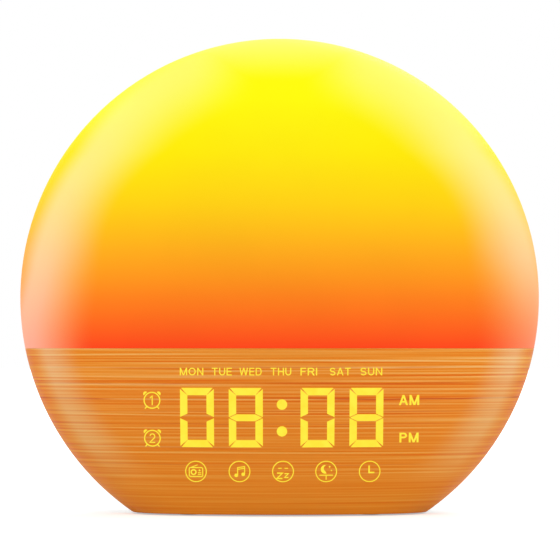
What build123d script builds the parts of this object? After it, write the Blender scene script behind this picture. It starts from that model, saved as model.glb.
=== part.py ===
from build123d import *
from math import atan2, cos, degrees, radians, sin, sqrt, tan
import os

# Round sunrise alarm clock. A lit dome and a wood-look display fascia make the domed front,
# and a moulded rear housing carries the speaker, keys, sockets and boards.
# Millimetres, +Z up, display facing -Y, origin at the middle of the footprint on the table.
# "Rise" is a distance forward of the rim plane, where the front and rear housings meet.

# ---------------------------------------------------------------- driving dimensions
# Outline
disc_radius = 100.0          # round outline seen from the front
base_cut = 17.6              # slice off the bottom of the disc, for the floor
fascia_height = 62.8         # joint between dome and fascia, over the base
front_rise = 46.9            # crown of the front
shoulder_radius = 25.6       # rolls the front over into the rim
rear_depth = 38.0            # rim plane to back face
rear_draft = 4.0             # degrees of taper on the rear side wall
rear_corner_radius = 14.0    # side wall into back face
foot_proud = 0.6             # rubber pads under the base
key_proud = 1.4              # key tops over the back face
base_edge = 0.8              # rounded edge round the floor
parting_groove = 0.3         # shadow line between the front shells and the rear housing

# Shells and their joint
front_wall = 2.2
rear_wall = 2.4
seam_gap = 0.05              # hairline between dome and fascia
joint_clearance = 0.15       # around the tongue of the rim joint
tongue_thickness = 1.1
tongue_length = 2.8
assembly_clearance = 0.3     # between inner pieces and curved shells
overcut = 1.0                # cutters run this far past a face

# Snap hooks round the dome
hook_angles = (10, 50, 90, 130, 170)
hook_width = 8.0
hook_thickness = 1.2
hook_reach = 7.0
hook_catch = 0.8
catch_rib_height = 1.7

# Partition behind the seam
baffle_thickness = 1.6
baffle_drop = 0.3            # top of the partition, under the seam
ledge_width = 3.0
ledge_thickness = 1.6

# Lamp tray and its board
tray_floor_inset = 20.0      # from the outline of the disc
tray_floor_thickness = 1.8
tray_wall = 1.6
tray_rim_rise = 9.0
tray_screw_inset = 19.0      # inside the circle of keys
tray_screw_angles = (30, 90, 150)
tray_boss_length = 8.0
lamp_board_inset = 7.0       # from the edge of the tray floor
lamp_board_thickness = 1.6
lamp_board_margin = 4.0      # lower edge of the board, over the partition
lamp_led_margin = 10.0       # outer circle of LEDs, from the edge of the board
lamp_led_pitch = 21.5        # from one circle of LEDs to the next
lamp_led_counts = (13, 9, 5)
lamp_led_overhang = 4.0      # degrees that each circle runs below level
lamp_led_size = (3.5, 2.8, 0.8)
lamp_board_screw_inset = 20.0
lamp_board_screw_angles = (12, 62, 118, 168)

# Display block behind the fascia
display_shift = 0.8          # display centre, right of the axis
display_height = 34.4        # display centre over the base
display_tilt = 16.0          # board leans to follow the crown
board_corner_clearance = 1.3 # lower corners of the display board, inside the fascia
window_wall = 1.1            # thinned wall in front of the display
window_clearance = 0.4       # round the mask in its pocket
film_thickness = 0.4
film_gap = 0.1
mask_width = 107.0
mask_height = 46.5
mask_corner = 13.0
display_board_margin = 1.0   # board round its posts
display_board_thickness = 1.6
display_post_x = 57.0        # posts beside the mask, from the display centre
display_post_heights = (-12.0, 13.0)
display_post_radius = 2.8

# Marks that the display lights, as seen from the front, from display centre and base
digit_columns = (-31.55, -13.4, 13.35, 31.55)
digit_middle = 36.95
digit_width = 12.6
digit_height = 22.3
segment_width = 2.75
segment_gap = 0.55
colon_heights = (31.9, 41.9)
colon_width = 3.9
alarm_mark_x = -48.3
alarm_mark_heights = (29.3, 43.5)
alarm_mark_width = 7.6
half_day_x = 47.4
half_day_heights = (29.6, 43.6)
half_day_size = (8.6, 5.0)
weekday_count = 7
weekday_pitch = 11.4
weekday_height = 54.2
weekday_size = (9.6, 4.0)
function_count = 5
function_pitch = 16.2
function_height = 16.7
function_width = 9.4
display_led_size = (1.6, 0.8, 0.6)

# Boards behind the back wall
board_standoff = 9.0         # back wall to the boards' faces
board_thickness = 1.6
board_post_radius = 2.6
board_screw_inset = 4.0
main_board_size = (104.0, 37.0)
main_board_middle = 30.5     # over the base
key_board_inside = 13.0      # inner edge, from the circle of keys
key_board_outside = 14.0     # outer edge, from the circle of keys
key_board_end_margin = 9.0   # degrees past the last keys
key_board_post_outside = 10.4
key_board_post_angles = (2, 42, 90, 138, 178)
chip_sizes = ((12.0, 12.0), (9.0, 7.0), (6.0, 5.0))
chip_places = ((-30.0, 4.0), (-8.0, 6.0), (12.0, -8.0))
chip_height = 1.6
capacitor_places = ((22.0, 6.0), (22.0, -5.0), (12.0, 0.0))  # inset from the board's end, height
capacitor_radius = 4.0
capacitor_height = 11.0

# Keys
key_ring_inset = 34.0        # circle that the keys lie on, inside the outline
key_width = 9.0
key_arc_length = 9.0
key_pitch = 20.0             # degrees
side_key_pairs = (           # lowest pair first, with the one on the +X side first
    ("sound", "sleep_timer"), ("minus", "clock_set"), ("plus", "alarm_two"), ("lamp", "alarm_one"),
)
first_key_angle = -8.0
snooze_arc_length = 46.0
key_clearance = 0.3
key_lip = 1.0
key_flange = 1.2
key_seat_gap = 0.2           # flange to the back wall, at rest
key_edge = 0.6
key_stem_radius = 2.2
key_travel = 0.5
plunger_radius = 1.75
plunger_clearance = 0.1
plunger_proud = 1.0
plunger_seated = 1.5
switch_size = (6.0, 6.0, 3.4)

# Speaker
speaker_radius = 28.5
speaker_depth = 12.0         # flange to the basket's rear plate
speaker_flange_width = 3.9
speaker_flange_thickness = 1.2
speaker_gasket_thickness = 2.4
speaker_mesh_thickness = 0.4
speaker_ear_ring = 32.0
speaker_ear_angles = (45, 135, 225, 315)
speaker_ear_radius = 4.2
speaker_post_radius = 3.4
speaker_wall = 1.0
speaker_plate_radius = 16.5
magnet_radius = 15.0
magnet_thickness = 8.0
yoke_thickness = 2.0
yoke_setback = 1.0           # edge of the yoke, inside the magnet
voice_coil_radius = 8.0
coil_gap = 1.0               # voice coil to the magnet
pole_gap = 1.2               # voice coil to the pole
cone_wall = 0.4
cone_neck = 3.5              # small end of the cone, over the basket's plate
coil_dip = 0.6               # voice coil, past the basket's plate
dust_cap_step = 1.0          # edge of the dust cap, over the cone's neck
dust_cap_rise = 2.0
roll_width = 3.2             # foam roll round the cone
roll_rise = 1.6
roll_wall = 0.4
gasket_inset = 0.2
grille_dish_radius = 31.0
grille_dish_depth = 0.8
grille_slot_width = 1.8
grille_first_ring = 5.5
grille_ring_pitch = 5.1
grille_slots = (3, 5, 7, 9, 11)
grille_bridge = 3.2          # web between the slots of one ring

# Sockets, wire gland and coin cell, places given from the axis and over the base
power_inlet_at = (-6.0, 19.0)
power_inlet_size = (9.0, 3.3)
power_inlet_tongue = (6.7, 0.7)
charging_port_at = (-29.0, 19.0)
charging_port_size = (13.1, 5.7)
charging_port_tongue = (11.1, 1.8)
socket_wall = 0.3
socket_clearance = 0.3
socket_core_depth = 2.8      # solid back of each socket's core
socket_recess = 1.0          # socket mouths, inside the back face
tongue_recess = 0.8
gland_inside = 8.6           # from the circle of keys
gland_angle = 205.0
gland_hole_radius = 3.2
gland_bore_radius = 1.1
gland_lip = 1.2
gland_proud = 0.9
coin_cell_at = (31.0, 29.0)
coin_cell_radius = 10.0
coin_cell_thickness = 3.2
coin_cell_edge = 0.3
cap_radius = 12.4
cap_clearance = 0.3
cap_thickness = 1.6
cap_seat_width = 1.1
cap_lug_reach = 1.8
cap_lug_thickness = 1.0
cap_lug_gap = 0.2
cap_lug_angle = 26.0
cap_lug_count = 3
cap_turn = 40.0              # degrees from locked to free
cap_slot = (14.0, 1.8, 1.0)
holder_wall = 1.2

# Fasteners
housing_screw_radius = 1.5
housing_screw_head_radius = 2.8
housing_screw_head = 2.0
housing_screw_bite = 7.0
housing_boss_radius = 3.7
screw_land = 5.0             # solid end of each deep screw pillar
fascia_screw_at = (68.0, 44.0)
small_screw_radius = 1.1
small_screw_head_radius = 2.0
small_screw_head = 1.3
small_screw_length = 5.0
snug_clearance = 0.05        # shanks in pilot holes, feet in pockets, cores in shells
screw_head_clearance = 0.3
screw_tip_clearance = 0.5
boss_gap = 0.2               # rear pillars to the bosses they meet
cross_length = 1.3           # cross recess, as shares of the screw head's radius
cross_width = 0.3
cross_depth = 0.5            # as a share of the head's height

# Rubber pads
foot_radius = 5.0
foot_thickness = 1.2
foot_edge = 0.25
front_foot_at = (34.0, -3.0)
rear_foot_at = (38.0, 30.0)

# Flat cables between the boards, ends given from the axis and over the base
cable_thickness = 0.6
cable_width = 9.0
cable_lead = 3.0             # straight run out of each connector
connector_size = (11.0, 4.0, 3.5)
display_cable_at = (12.0, 36.0)
display_cable_end = (12.0, 42.0)
lamp_cable_at = (-14.0, 74.0)
lamp_cable_end = (-14.0, 43.0)
key_cable_inset = 6.0        # from the inner edge of the key board
key_cable_angle = -10.0
key_cable_end = (24.0, 45.0)

# ---------------------------------------------------------------- derived places
full_circle = 360
half_circle = full_circle / 2
quarter_circle = full_circle / 4
base_z = foot_proud
axis_z = base_z + disc_radius - base_cut
seam_z = base_z + fascia_height
rim_y = (front_rise - rear_depth - key_proud) / 2
back_y = rim_y + rear_depth
back_inner_y = back_y - rear_wall
disc_axis = Axis((0, 0, axis_z), (0, 1, 0))

crown_reach = front_rise - shoulder_radius
shoulder_centre = disc_radius - shoulder_radius
crown_radius = (shoulder_centre**2 + front_rise**2 - shoulder_radius**2) / (2 * crown_reach)
crown_setback = crown_radius - front_rise
shoulder_turn = degrees(atan2(crown_setback, shoulder_centre))
back_radius = disc_radius - rear_depth * tan(radians(rear_draft))
crown_edge_radius = shoulder_centre + shoulder_radius * cos(radians(shoulder_turn))

baffle_top = seam_z - baffle_drop
baffle_bottom = baffle_top - baffle_thickness
board_face_y = back_inner_y - board_standoff
display_z = base_z + display_height
key_ring = disc_radius - key_ring_inset
tray_floor_radius = disc_radius - tray_floor_inset
tray_screw_ring = key_ring - tray_screw_inset
lamp_board_radius = tray_floor_radius - lamp_board_inset
lamp_board_screw_ring = lamp_board_radius - lamp_board_screw_inset
key_board_inner = key_ring - key_board_inside
key_board_outer = key_ring + key_board_outside
key_board_post_ring = key_ring + key_board_post_outside
small_screw_hole = small_screw_radius + snug_clearance
housing_screw_hole = housing_screw_radius + snug_clearance


def station(depth, height=0.0):
    """Plane across the clock at one depth: x is +X, y is +Z and the normal faces front."""
    return Plane(origin=(0, depth, height), x_dir=(1, 0, 0), z_dir=(0, -1, 0))


def from_behind(x, depth, z):
    """Place of a hole or screw that is driven in from the back."""
    return Plane(origin=(x, depth, z), x_dir=(-1, 0, 0), z_dir=(0, 1, 0)).location


def on_ring(radius, angle):
    """Point (x, z) on a circle round the disc axis, angles from +X towards +Z."""
    return radius * cos(radians(angle)), axis_z + radius * sin(radians(angle))


def spread(count, pitch):
    """Even places along a line, either side of zero."""
    return [(index - (count - 1) / 2) * pitch for index in range(count)]


def arc_about_centre(radius, start, turn):
    """Arc about a sketch's own centre, as the middle line of a curved slot."""
    return Edge.make_circle(radius, Plane.XY, start, start + turn)


def front_form(inset):
    """Domed front half of the disc, drawn in from its surface by inset: a ball for the crown
    and a ring with a round shoulder, which meet smoothly in a circle."""
    meeting = crown_edge_radius - inset * cos(radians(shoulder_turn))
    meeting_y = rim_y - (shoulder_radius - inset) * sin(radians(shoulder_turn))
    with BuildPart() as form:
        with Locations((0, rim_y + crown_setback, axis_z)):
            Sphere(crown_radius - inset)
        with BuildSketch(station(rim_y, axis_z)):
            Circle(meeting)
        extrude(amount=front_rise, mode=Mode.INTERSECT)
        with BuildSketch(Plane.XY.offset(axis_z)):
            with BuildLine():
                Line((meeting, rim_y), (disc_radius - inset, rim_y))
                CenterArc((shoulder_centre, rim_y), shoulder_radius - inset, 0, -shoulder_turn)
                Line((meeting, meeting_y), (meeting, rim_y))
            make_face()
        revolve(axis=disc_axis)
    return form.part


def rear_form(inset):
    """Drafted rear half of the disc, drawn in from its surface by inset."""
    with BuildPart() as form:
        with BuildSketch(Plane.XY.offset(axis_z)) as section:
            with BuildLine():
                Polyline(
                    (0, rim_y),
                    (disc_radius - inset, rim_y),
                    (back_radius - inset, back_y - inset),
                    (0, back_y - inset),
                    close=True,
                )
            make_face()
            back_corner = section.vertices().group_by(Axis.Y)[-1].sort_by(Axis.X)[-1]
            fillet(back_corner, rear_corner_radius - inset)
        revolve(axis=disc_axis)
    return form.part


def above(shape, height):
    """The part of a shape over a level plane."""
    with BuildPart() as kept:
        add(shape)
        split(bisect_by=Plane.XY.offset(height), keep=Keep.TOP)
    return kept.part


def ring(inner, outer, start, length):
    """Ring about the disc axis that runs back from depth start."""
    with BuildPart() as band:
        with BuildSketch(station(start, axis_z)):
            Circle(outer)
            Circle(inner, mode=Mode.SUBTRACT)
        extrude(amount=-length)
    return band.part


def screws(places, shank_radius, head_radius, head_height, length):
    """Cross-recess screws, each standing on its place with the head out along the local Z."""
    with BuildPart() as group:
        with Locations(*places):
            Cylinder(shank_radius, length, align=(Align.CENTER, Align.CENTER, Align.MAX))
            Cylinder(head_radius, head_height, align=(Align.CENTER, Align.CENTER, Align.MIN))
        slot = (head_radius * cross_length, head_radius * cross_width, head_height)
        recess = [place * Pos(0, 0, head_height * (1 - cross_depth)) for place in places]
        with Locations(*recess):
            Box(*slot, align=(Align.CENTER, Align.CENTER, Align.MIN), mode=Mode.SUBTRACT)
            Box(slot[1], slot[0], slot[2], align=(Align.CENTER, Align.CENTER, Align.MIN),
                mode=Mode.SUBTRACT)
    return group.part


def floor_edges(builder, joint_depth):
    """Edges round the floor, without the one along the joint between front and rear."""
    return [
        edge for edge in builder.edges().group_by(Axis.Z)[0]
        if abs(edge.center().Y - joint_depth) > base_edge
    ]


def save(builder, node):
    """Label one piece and write its file."""
    builder.part.label = node
    export_step(builder.part, f"parts/{node}.step")


os.makedirs("parts", exist_ok=True)
front_cavity = above(front_form(front_wall), base_z + front_wall)
rear_cavity = above(rear_form(rear_wall), base_z + rear_wall)
tongue_outer = disc_radius - front_wall + tongue_thickness
rim_tongue = above(
    ring(tongue_outer - tongue_thickness, tongue_outer, rim_y, tongue_length),
    base_z + rear_wall + joint_clearance,
)

with BuildPart() as shadow_line:
    with BuildSketch(Plane.XY.offset(axis_z)):
        with BuildLine():
            Polyline(
                (disc_radius - parting_groove, rim_y),
                (disc_radius + parting_groove, rim_y - 2 * parting_groove),
                (disc_radius + parting_groove, rim_y + 2 * parting_groove),
                close=True,
            )
        make_face()
    revolve(axis=disc_axis)

# ---------------------------------------------------------------- lamp dome
# Opal upper shell. Five hooks reach back from its rim and catch behind ribs of the rear housing.
hook_outer = (
    disc_radius - rear_wall - hook_reach * tan(radians(rear_draft)) - hook_catch - boss_gap
)
with BuildPart() as hooks:
    for angle in hook_angles:
        hook_plane = Plane(
            origin=(0, rim_y, axis_z),
            x_dir=(cos(radians(angle)), 0, sin(radians(angle))),
            z_dir=(-sin(radians(angle)), 0, cos(radians(angle))),
        )
        with BuildSketch(hook_plane):
            # local x is the radius, local y is the depth behind the rim plane
            with BuildLine():
                Polyline(
                    (hook_outer - hook_thickness, -tongue_length),
                    (disc_radius - front_wall / 2, -tongue_length),
                    (disc_radius - front_wall / 2, -hook_thickness),
                    (hook_outer, -hook_thickness),
                    (hook_outer, hook_reach - catch_rib_height),
                    (hook_outer + hook_catch, hook_reach - catch_rib_height),
                    (hook_outer, hook_reach),
                    (hook_outer - hook_thickness, hook_reach),
                    close=True,
                )
            make_face()
        extrude(amount=hook_width / 2, both=True)

with BuildPart() as lamp_dome:
    add(front_form(0))
    add(front_cavity, mode=Mode.SUBTRACT)
    add(rim_tongue)
    add(hooks.part)
    add(shadow_line.part, mode=Mode.SUBTRACT)
    split(bisect_by=Plane.XY.offset(seam_z + seam_gap / 2), keep=Keep.TOP)
save(lamp_dome, "lamp_dome")

# ---------------------------------------------------------------- wood-look fascia
# Lower shell with its floor, a thinned window for the display, four posts for the display
# board, two bosses for the housing screws and a ledge under the partition.
wing_reach = display_post_radius + display_board_margin
wing_corner = (
    display_shift + display_post_x + wing_reach,
    display_height + display_post_heights[0] - wing_reach,
)
corner_reach = sqrt(wing_corner[0] ** 2 + (axis_z - base_z - wing_corner[1]) ** 2)
corner_rise = sqrt((shoulder_radius - front_wall) ** 2 - (corner_reach - shoulder_centre) ** 2)
display_lean = tan(radians(display_tilt))
display_rise = (
    corner_rise - board_corner_clearance + (display_height - wing_corner[1]) * display_lean
)
display_plane = Plane(
    origin=(display_shift, rim_y - display_rise, display_z),
    x_dir=(1, 0, 0),
    z_dir=(0, -cos(radians(display_tilt)), -sin(radians(display_tilt))),
)
display_post_points = [
    (side * display_post_x, height / cos(radians(display_tilt)))
    for side in (-1, 1)
    for height in display_post_heights
]


def display_outline(grow):
    """Rounded outline of the display, seen from the front, as a block through the shell."""
    with BuildPart() as block:
        with BuildSketch(station(rim_y, display_z)):
            with Locations((display_shift, 0)):
                RectangleRounded(mask_width + 2 * grow, mask_height + 2 * grow, mask_corner + grow)
        extrude(amount=front_rise)
    return block.part


with BuildPart() as window_pocket:
    add(display_outline(window_clearance))
    add(front_form(window_wall), mode=Mode.INTERSECT)

with BuildPart() as baffle_ledge:
    add(front_form(front_wall / 2))
    add(front_form(front_wall + ledge_width), mode=Mode.SUBTRACT)
    split(bisect_by=Plane.XY.offset(baffle_bottom - ledge_thickness), keep=Keep.TOP)
    split(bisect_by=Plane.XY.offset(baffle_bottom), keep=Keep.BOTTOM)

with BuildPart() as display_posts:
    with BuildSketch(display_plane):
        with Locations(*display_post_points):
            Circle(display_post_radius)
    extrude(amount=front_rise)
    add(front_form(front_wall / 2), mode=Mode.INTERSECT)

with BuildPart() as fascia_bosses:
    with BuildSketch(station(rim_y, base_z)):
        with Locations((-fascia_screw_at[0], fascia_screw_at[1]), fascia_screw_at):
            Circle(housing_boss_radius)
    extrude(amount=front_rise)
    add(front_form(front_wall / 2), mode=Mode.INTERSECT)

fascia_top = Plane.XY.offset(seam_z - seam_gap / 2)
with BuildPart() as wood_fascia:
    add(front_form(0))
    split(bisect_by=Plane.XY.offset(base_z), keep=Keep.TOP)
    split(bisect_by=fascia_top, keep=Keep.BOTTOM)
    fillet(floor_edges(wood_fascia, rim_y), base_edge)
    add(front_cavity, mode=Mode.SUBTRACT)
    add(rim_tongue)
    add(shadow_line.part, mode=Mode.SUBTRACT)
    split(bisect_by=fascia_top, keep=Keep.BOTTOM)
    add(baffle_ledge.part)
    add(display_posts.part)
    add(fascia_bosses.part)
    add(window_pocket.part, mode=Mode.SUBTRACT)
    with BuildSketch(display_plane):
        with Locations(*display_post_points):
            Circle(small_screw_hole)
    extrude(amount=small_screw_length - display_board_thickness + screw_tip_clearance,
            mode=Mode.SUBTRACT)
    with BuildSketch(station(rim_y, base_z)):
        with Locations((-fascia_screw_at[0], fascia_screw_at[1]), fascia_screw_at):
            Circle(housing_screw_hole)
    extrude(amount=housing_screw_bite + 2 * screw_tip_clearance, mode=Mode.SUBTRACT)
    with Locations((-front_foot_at[0], front_foot_at[1], base_z),
                   (front_foot_at[0], front_foot_at[1], base_z)):
        Cylinder(foot_radius + snug_clearance, foot_thickness - foot_proud,
                 align=(Align.CENTER, Align.CENTER, Align.MIN), mode=Mode.SUBTRACT)
save(wood_fascia, "wood_fascia")

# ---------------------------------------------------------------- partition behind the seam
with BuildPart() as seam_baffle:
    add(front_form(front_wall + assembly_clearance))
    split(bisect_by=Plane.XY.offset(baffle_bottom), keep=Keep.TOP)
    split(bisect_by=Plane.XY.offset(baffle_top), keep=Keep.BOTTOM)
save(seam_baffle, "seam_baffle")

# ---------------------------------------------------------------- lamp tray, board and LEDs
tray_rim_radius = (
    shoulder_centre
    + sqrt((shoulder_radius - front_wall) ** 2 - tray_rim_rise**2)
    - 2 * assembly_clearance
)
tray_slope = (tray_rim_radius - tray_floor_radius) / tray_rim_rise
tray_wall_across = tray_wall * sqrt(1 + tray_slope**2)
tray_corner = tray_floor_radius + tray_slope * tray_floor_thickness - tray_wall_across
tray_screw_points = [on_ring(tray_screw_ring, angle) for angle in tray_screw_angles]
lamp_board_y = rim_y - tray_floor_thickness
lamp_board_screw_points = [
    on_ring(lamp_board_screw_ring, angle) for angle in lamp_board_screw_angles
]
with BuildPart() as reflector_tray:
    with BuildSketch(Plane.XY.offset(axis_z)):
        with BuildLine():
            Polyline(
                (0, rim_y),
                (tray_floor_radius, rim_y),
                (tray_rim_radius, rim_y - tray_rim_rise),
                (tray_rim_radius - tray_wall_across, rim_y - tray_rim_rise),
                (tray_corner, lamp_board_y),
                (0, lamp_board_y),
                close=True,
            )
        make_face()
    revolve(axis=disc_axis)
    split(bisect_by=Plane.XY.offset(baffle_top), keep=Keep.TOP)
    with BuildSketch(station(rim_y)):
        with Locations(*tray_screw_points):
            Circle(housing_boss_radius)
    extrude(amount=-tray_boss_length)
    with BuildSketch(station(rim_y)):
        with Locations(*lamp_board_screw_points):
            Circle(display_post_radius)
    extrude(amount=-(small_screw_length - lamp_board_thickness))
    with BuildSketch(station(rim_y + tray_boss_length)):
        with Locations(*tray_screw_points):
            Circle(housing_screw_hole)
    extrude(amount=tray_boss_length, mode=Mode.SUBTRACT)
    with BuildSketch(station(lamp_board_y)):
        with Locations(*lamp_board_screw_points):
            Circle(small_screw_hole)
    extrude(amount=-small_screw_length, mode=Mode.SUBTRACT)
    # opening for the lamp board's connector
    with BuildSketch(station(lamp_board_y, base_z)):
        with Locations(lamp_cable_at):
            Rectangle(connector_size[0] + 2 * boss_gap, connector_size[1] + 2 * boss_gap)
    extrude(amount=-(tray_floor_thickness + overcut), mode=Mode.SUBTRACT)
save(reflector_tray, "reflector_tray")

with BuildPart() as lamp_board:
    with BuildSketch(station(lamp_board_y, axis_z)):
        Circle(lamp_board_radius)
    extrude(amount=lamp_board_thickness)
    split(bisect_by=Plane.XY.offset(baffle_top + lamp_board_margin), keep=Keep.TOP)
    with Locations(*[from_behind(x, lamp_board_y, z) for x, z in lamp_board_screw_points]):
        Hole(small_screw_hole)
save(lamp_board, "lamp_board")

lamp_led_places = []
lamp_led_span = half_circle + 2 * lamp_led_overhang
for row, led_count in enumerate(lamp_led_counts):
    led_ring = lamp_board_radius - lamp_led_margin - row * lamp_led_pitch
    for index in range(led_count):
        x, z = on_ring(led_ring, index * lamp_led_span / (led_count - 1) - lamp_led_overhang)
        lamp_led_places.append((x, lamp_board_y - lamp_board_thickness, z))
with BuildPart() as lamp_leds:
    with Locations(*lamp_led_places):
        Box(lamp_led_size[0], lamp_led_size[2], lamp_led_size[1],
            align=(Align.CENTER, Align.MAX, Align.CENTER))
save(lamp_leds, "lamp_leds")

lamp_screw_places = [
    Plane(origin=(x, lamp_board_y - lamp_board_thickness, z), z_dir=(0, -1, 0)).location
    for x, z in lamp_board_screw_points
]
lamp_board_screws = screws(lamp_screw_places, small_screw_radius, small_screw_head_radius,
                           small_screw_head, small_screw_length)
lamp_board_screws.label = "lamp_board_screws"
export_step(lamp_board_screws, "parts/lamp_board_screws.step")

# ---------------------------------------------------------------- display block
# Each lit mark has its own light well through the mask, from the board to the thinned window.
film_inset = window_wall + film_gap
mask_inset = film_inset + film_thickness + film_gap
with BuildPart() as display_film:
    add(display_outline(0))
    add(front_form(film_inset), mode=Mode.INTERSECT)
    add(front_form(film_inset + film_thickness), mode=Mode.SUBTRACT)
save(display_film, "display_film")

segment_length = digit_width - segment_width - segment_gap
upright_length = (digit_height - segment_width) / 2 - segment_gap
upright_x = (digit_width - segment_width) / 2
bar_rise = (digit_height - segment_width) / 2
segment_places = [(0, bar_rise, 0), (0, 0, 0), (0, -bar_rise, 0)] + [
    (side * upright_x, level * bar_rise / 2, quarter_circle) for side in (-1, 1) for level in (-1, 1)
]
digit_z = base_z + digit_middle
round_wells = (
    [(0, base_z + height, colon_width) for height in colon_heights]
    + [(alarm_mark_x, base_z + height, alarm_mark_width) for height in alarm_mark_heights]
    + [(x, base_z + function_height, function_width) for x in spread(function_count, function_pitch)]
)
word_wells = [(half_day_x, base_z + height, *half_day_size) for height in half_day_heights] + [
    (x, base_z + weekday_height, *weekday_size) for x in spread(weekday_count, weekday_pitch)
]


def segment_bar(length, turn):
    """One bar of a seven-segment digit, pointed at both ends."""
    half = length / 2
    tip = segment_width / 2
    Polygon((-half, 0), (tip - half, -tip), (half - tip, -tip), (half, 0), (half - tip, tip),
            (tip - half, tip), rotation=turn, align=None)


with BuildPart() as display_mask:
    add(display_outline(0))
    split(bisect_by=display_plane, keep=Keep.TOP)
    add(front_form(mask_inset), mode=Mode.INTERSECT)
    with BuildSketch(station(rim_y, digit_z)):
        for column in digit_columns:
            for x, z, turn in segment_places:
                with Locations((display_shift + column + x, z)):
                    segment_bar(upright_length if turn else segment_length, turn)
    extrude(amount=front_rise, mode=Mode.SUBTRACT)
    with BuildSketch(station(rim_y)):
        for x, z, width in round_wells:
            with Locations((display_shift + x, z)):
                Circle(width / 2)
        for x, z, width, height in word_wells:
            with Locations((display_shift + x, z)):
                Rectangle(width, height)
    extrude(amount=front_rise, mode=Mode.SUBTRACT)
save(display_mask, "display_mask")

lean = cos(radians(display_tilt))
wing_width = 2 * (display_post_x + wing_reach)
wing_height = (display_post_heights[1] - display_post_heights[0]) / lean + 2 * wing_reach
wing_middle = (display_post_heights[1] + display_post_heights[0]) / 2 / lean
with BuildPart() as display_board:
    with BuildSketch(display_plane):
        RectangleRounded(mask_width, mask_height / lean, mask_corner)
        with Locations((0, wing_middle)):
            RectangleRounded(wing_width, wing_height, display_post_radius)
    extrude(amount=-display_board_thickness)
    with BuildSketch(display_plane):
        with Locations(*display_post_points):
            Circle(small_screw_hole)
    extrude(amount=-display_board_thickness, mode=Mode.SUBTRACT)
save(display_board, "display_board")

led_points = [
    (column + x, (digit_z + z - display_z) / lean)
    for column in digit_columns
    for x, z, turn in segment_places
]
led_points += [(x, (z - display_z) / lean) for x, z, width in round_wells]
led_points += [(x, (z - display_z) / lean) for x, z, width, height in word_wells]
with BuildPart() as display_leds:
    with BuildSketch(display_plane):
        with Locations(*led_points):
            Rectangle(display_led_size[0], display_led_size[1])
    extrude(amount=display_led_size[2])
save(display_leds, "display_leds")

display_back = display_plane.offset(-display_board_thickness)
display_screw_places = [
    Plane(origin=display_back.from_local_coords((x, y, 0)), x_dir=(1, 0, 0),
          z_dir=-display_plane.z_dir).location
    for x, y in display_post_points
]
display_board_screws = screws(display_screw_places, small_screw_radius, small_screw_head_radius,
                              small_screw_head, small_screw_length)
display_board_screws.label = "display_board_screws"
export_step(display_board_screws, "parts/display_board_screws.step")

# ---------------------------------------------------------------- rear housing
key_half_turn = degrees(key_arc_length / key_ring) / 2
snooze_half_turn = degrees(snooze_arc_length / key_ring) / 2
key_places = {"snooze": (quarter_circle, snooze_half_turn)}
for step, (plus_side, minus_side) in enumerate(side_key_pairs):
    angle = first_key_angle + step * key_pitch
    key_places[plus_side] = (angle, key_half_turn)
    key_places[minus_side] = (half_circle - angle, key_half_turn)


def key_outline(angle, half_turn, grow):
    """Curved slot on the key circle, grown all round."""
    SlotArc(arc_about_centre(key_ring, angle - half_turn, 2 * half_turn), key_width + 2 * grow)


main_board_z = base_z + main_board_middle
main_board_post_points = [
    (x * (main_board_size[0] / 2 - board_screw_inset),
     main_board_z + z * (main_board_size[1] / 2 - board_screw_inset))
    for x in (-1, 1)
    for z in (-1, 1)
]
key_board_post_points = [on_ring(key_board_post_ring, angle) for angle in key_board_post_angles]
board_post_points = main_board_post_points + key_board_post_points
speaker_ear_points = [on_ring(speaker_ear_ring, angle) for angle in speaker_ear_angles]
speaker_face_y = back_inner_y - speaker_mesh_thickness - speaker_gasket_thickness
fascia_screw_points = [
    (side * fascia_screw_at[0], base_z + fascia_screw_at[1]) for side in (-1, 1)
]
power_inlet_z = base_z + power_inlet_at[1]
charging_port_z = base_z + charging_port_at[1]
gland_x, gland_z = on_ring(key_ring - gland_inside, gland_angle)
coin_cell_z = base_z + coin_cell_at[1]
cap_hub_radius = cap_radius - cap_seat_width
cap_lug_ring = cap_hub_radius + cap_lug_reach / 2

with BuildPart() as catch_ribs:
    for angle in hook_angles:
        rib_at = Plane(
            origin=(0, rim_y, axis_z),
            x_dir=(cos(radians(angle)), 0, sin(radians(angle))),
            z_dir=(-sin(radians(angle)), 0, cos(radians(angle))),
        )
        rib_inner = hook_outer + boss_gap
        rib_start = hook_reach - 2 * catch_rib_height - boss_gap
        with BuildSketch(rib_at):
            with Locations((rib_inner, rib_start)):
                Rectangle(disc_radius - rear_wall / 2 - rib_inner, catch_rib_height,
                          align=(Align.MIN, Align.MIN))
        extrude(amount=hook_width / 2, both=True)

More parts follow.
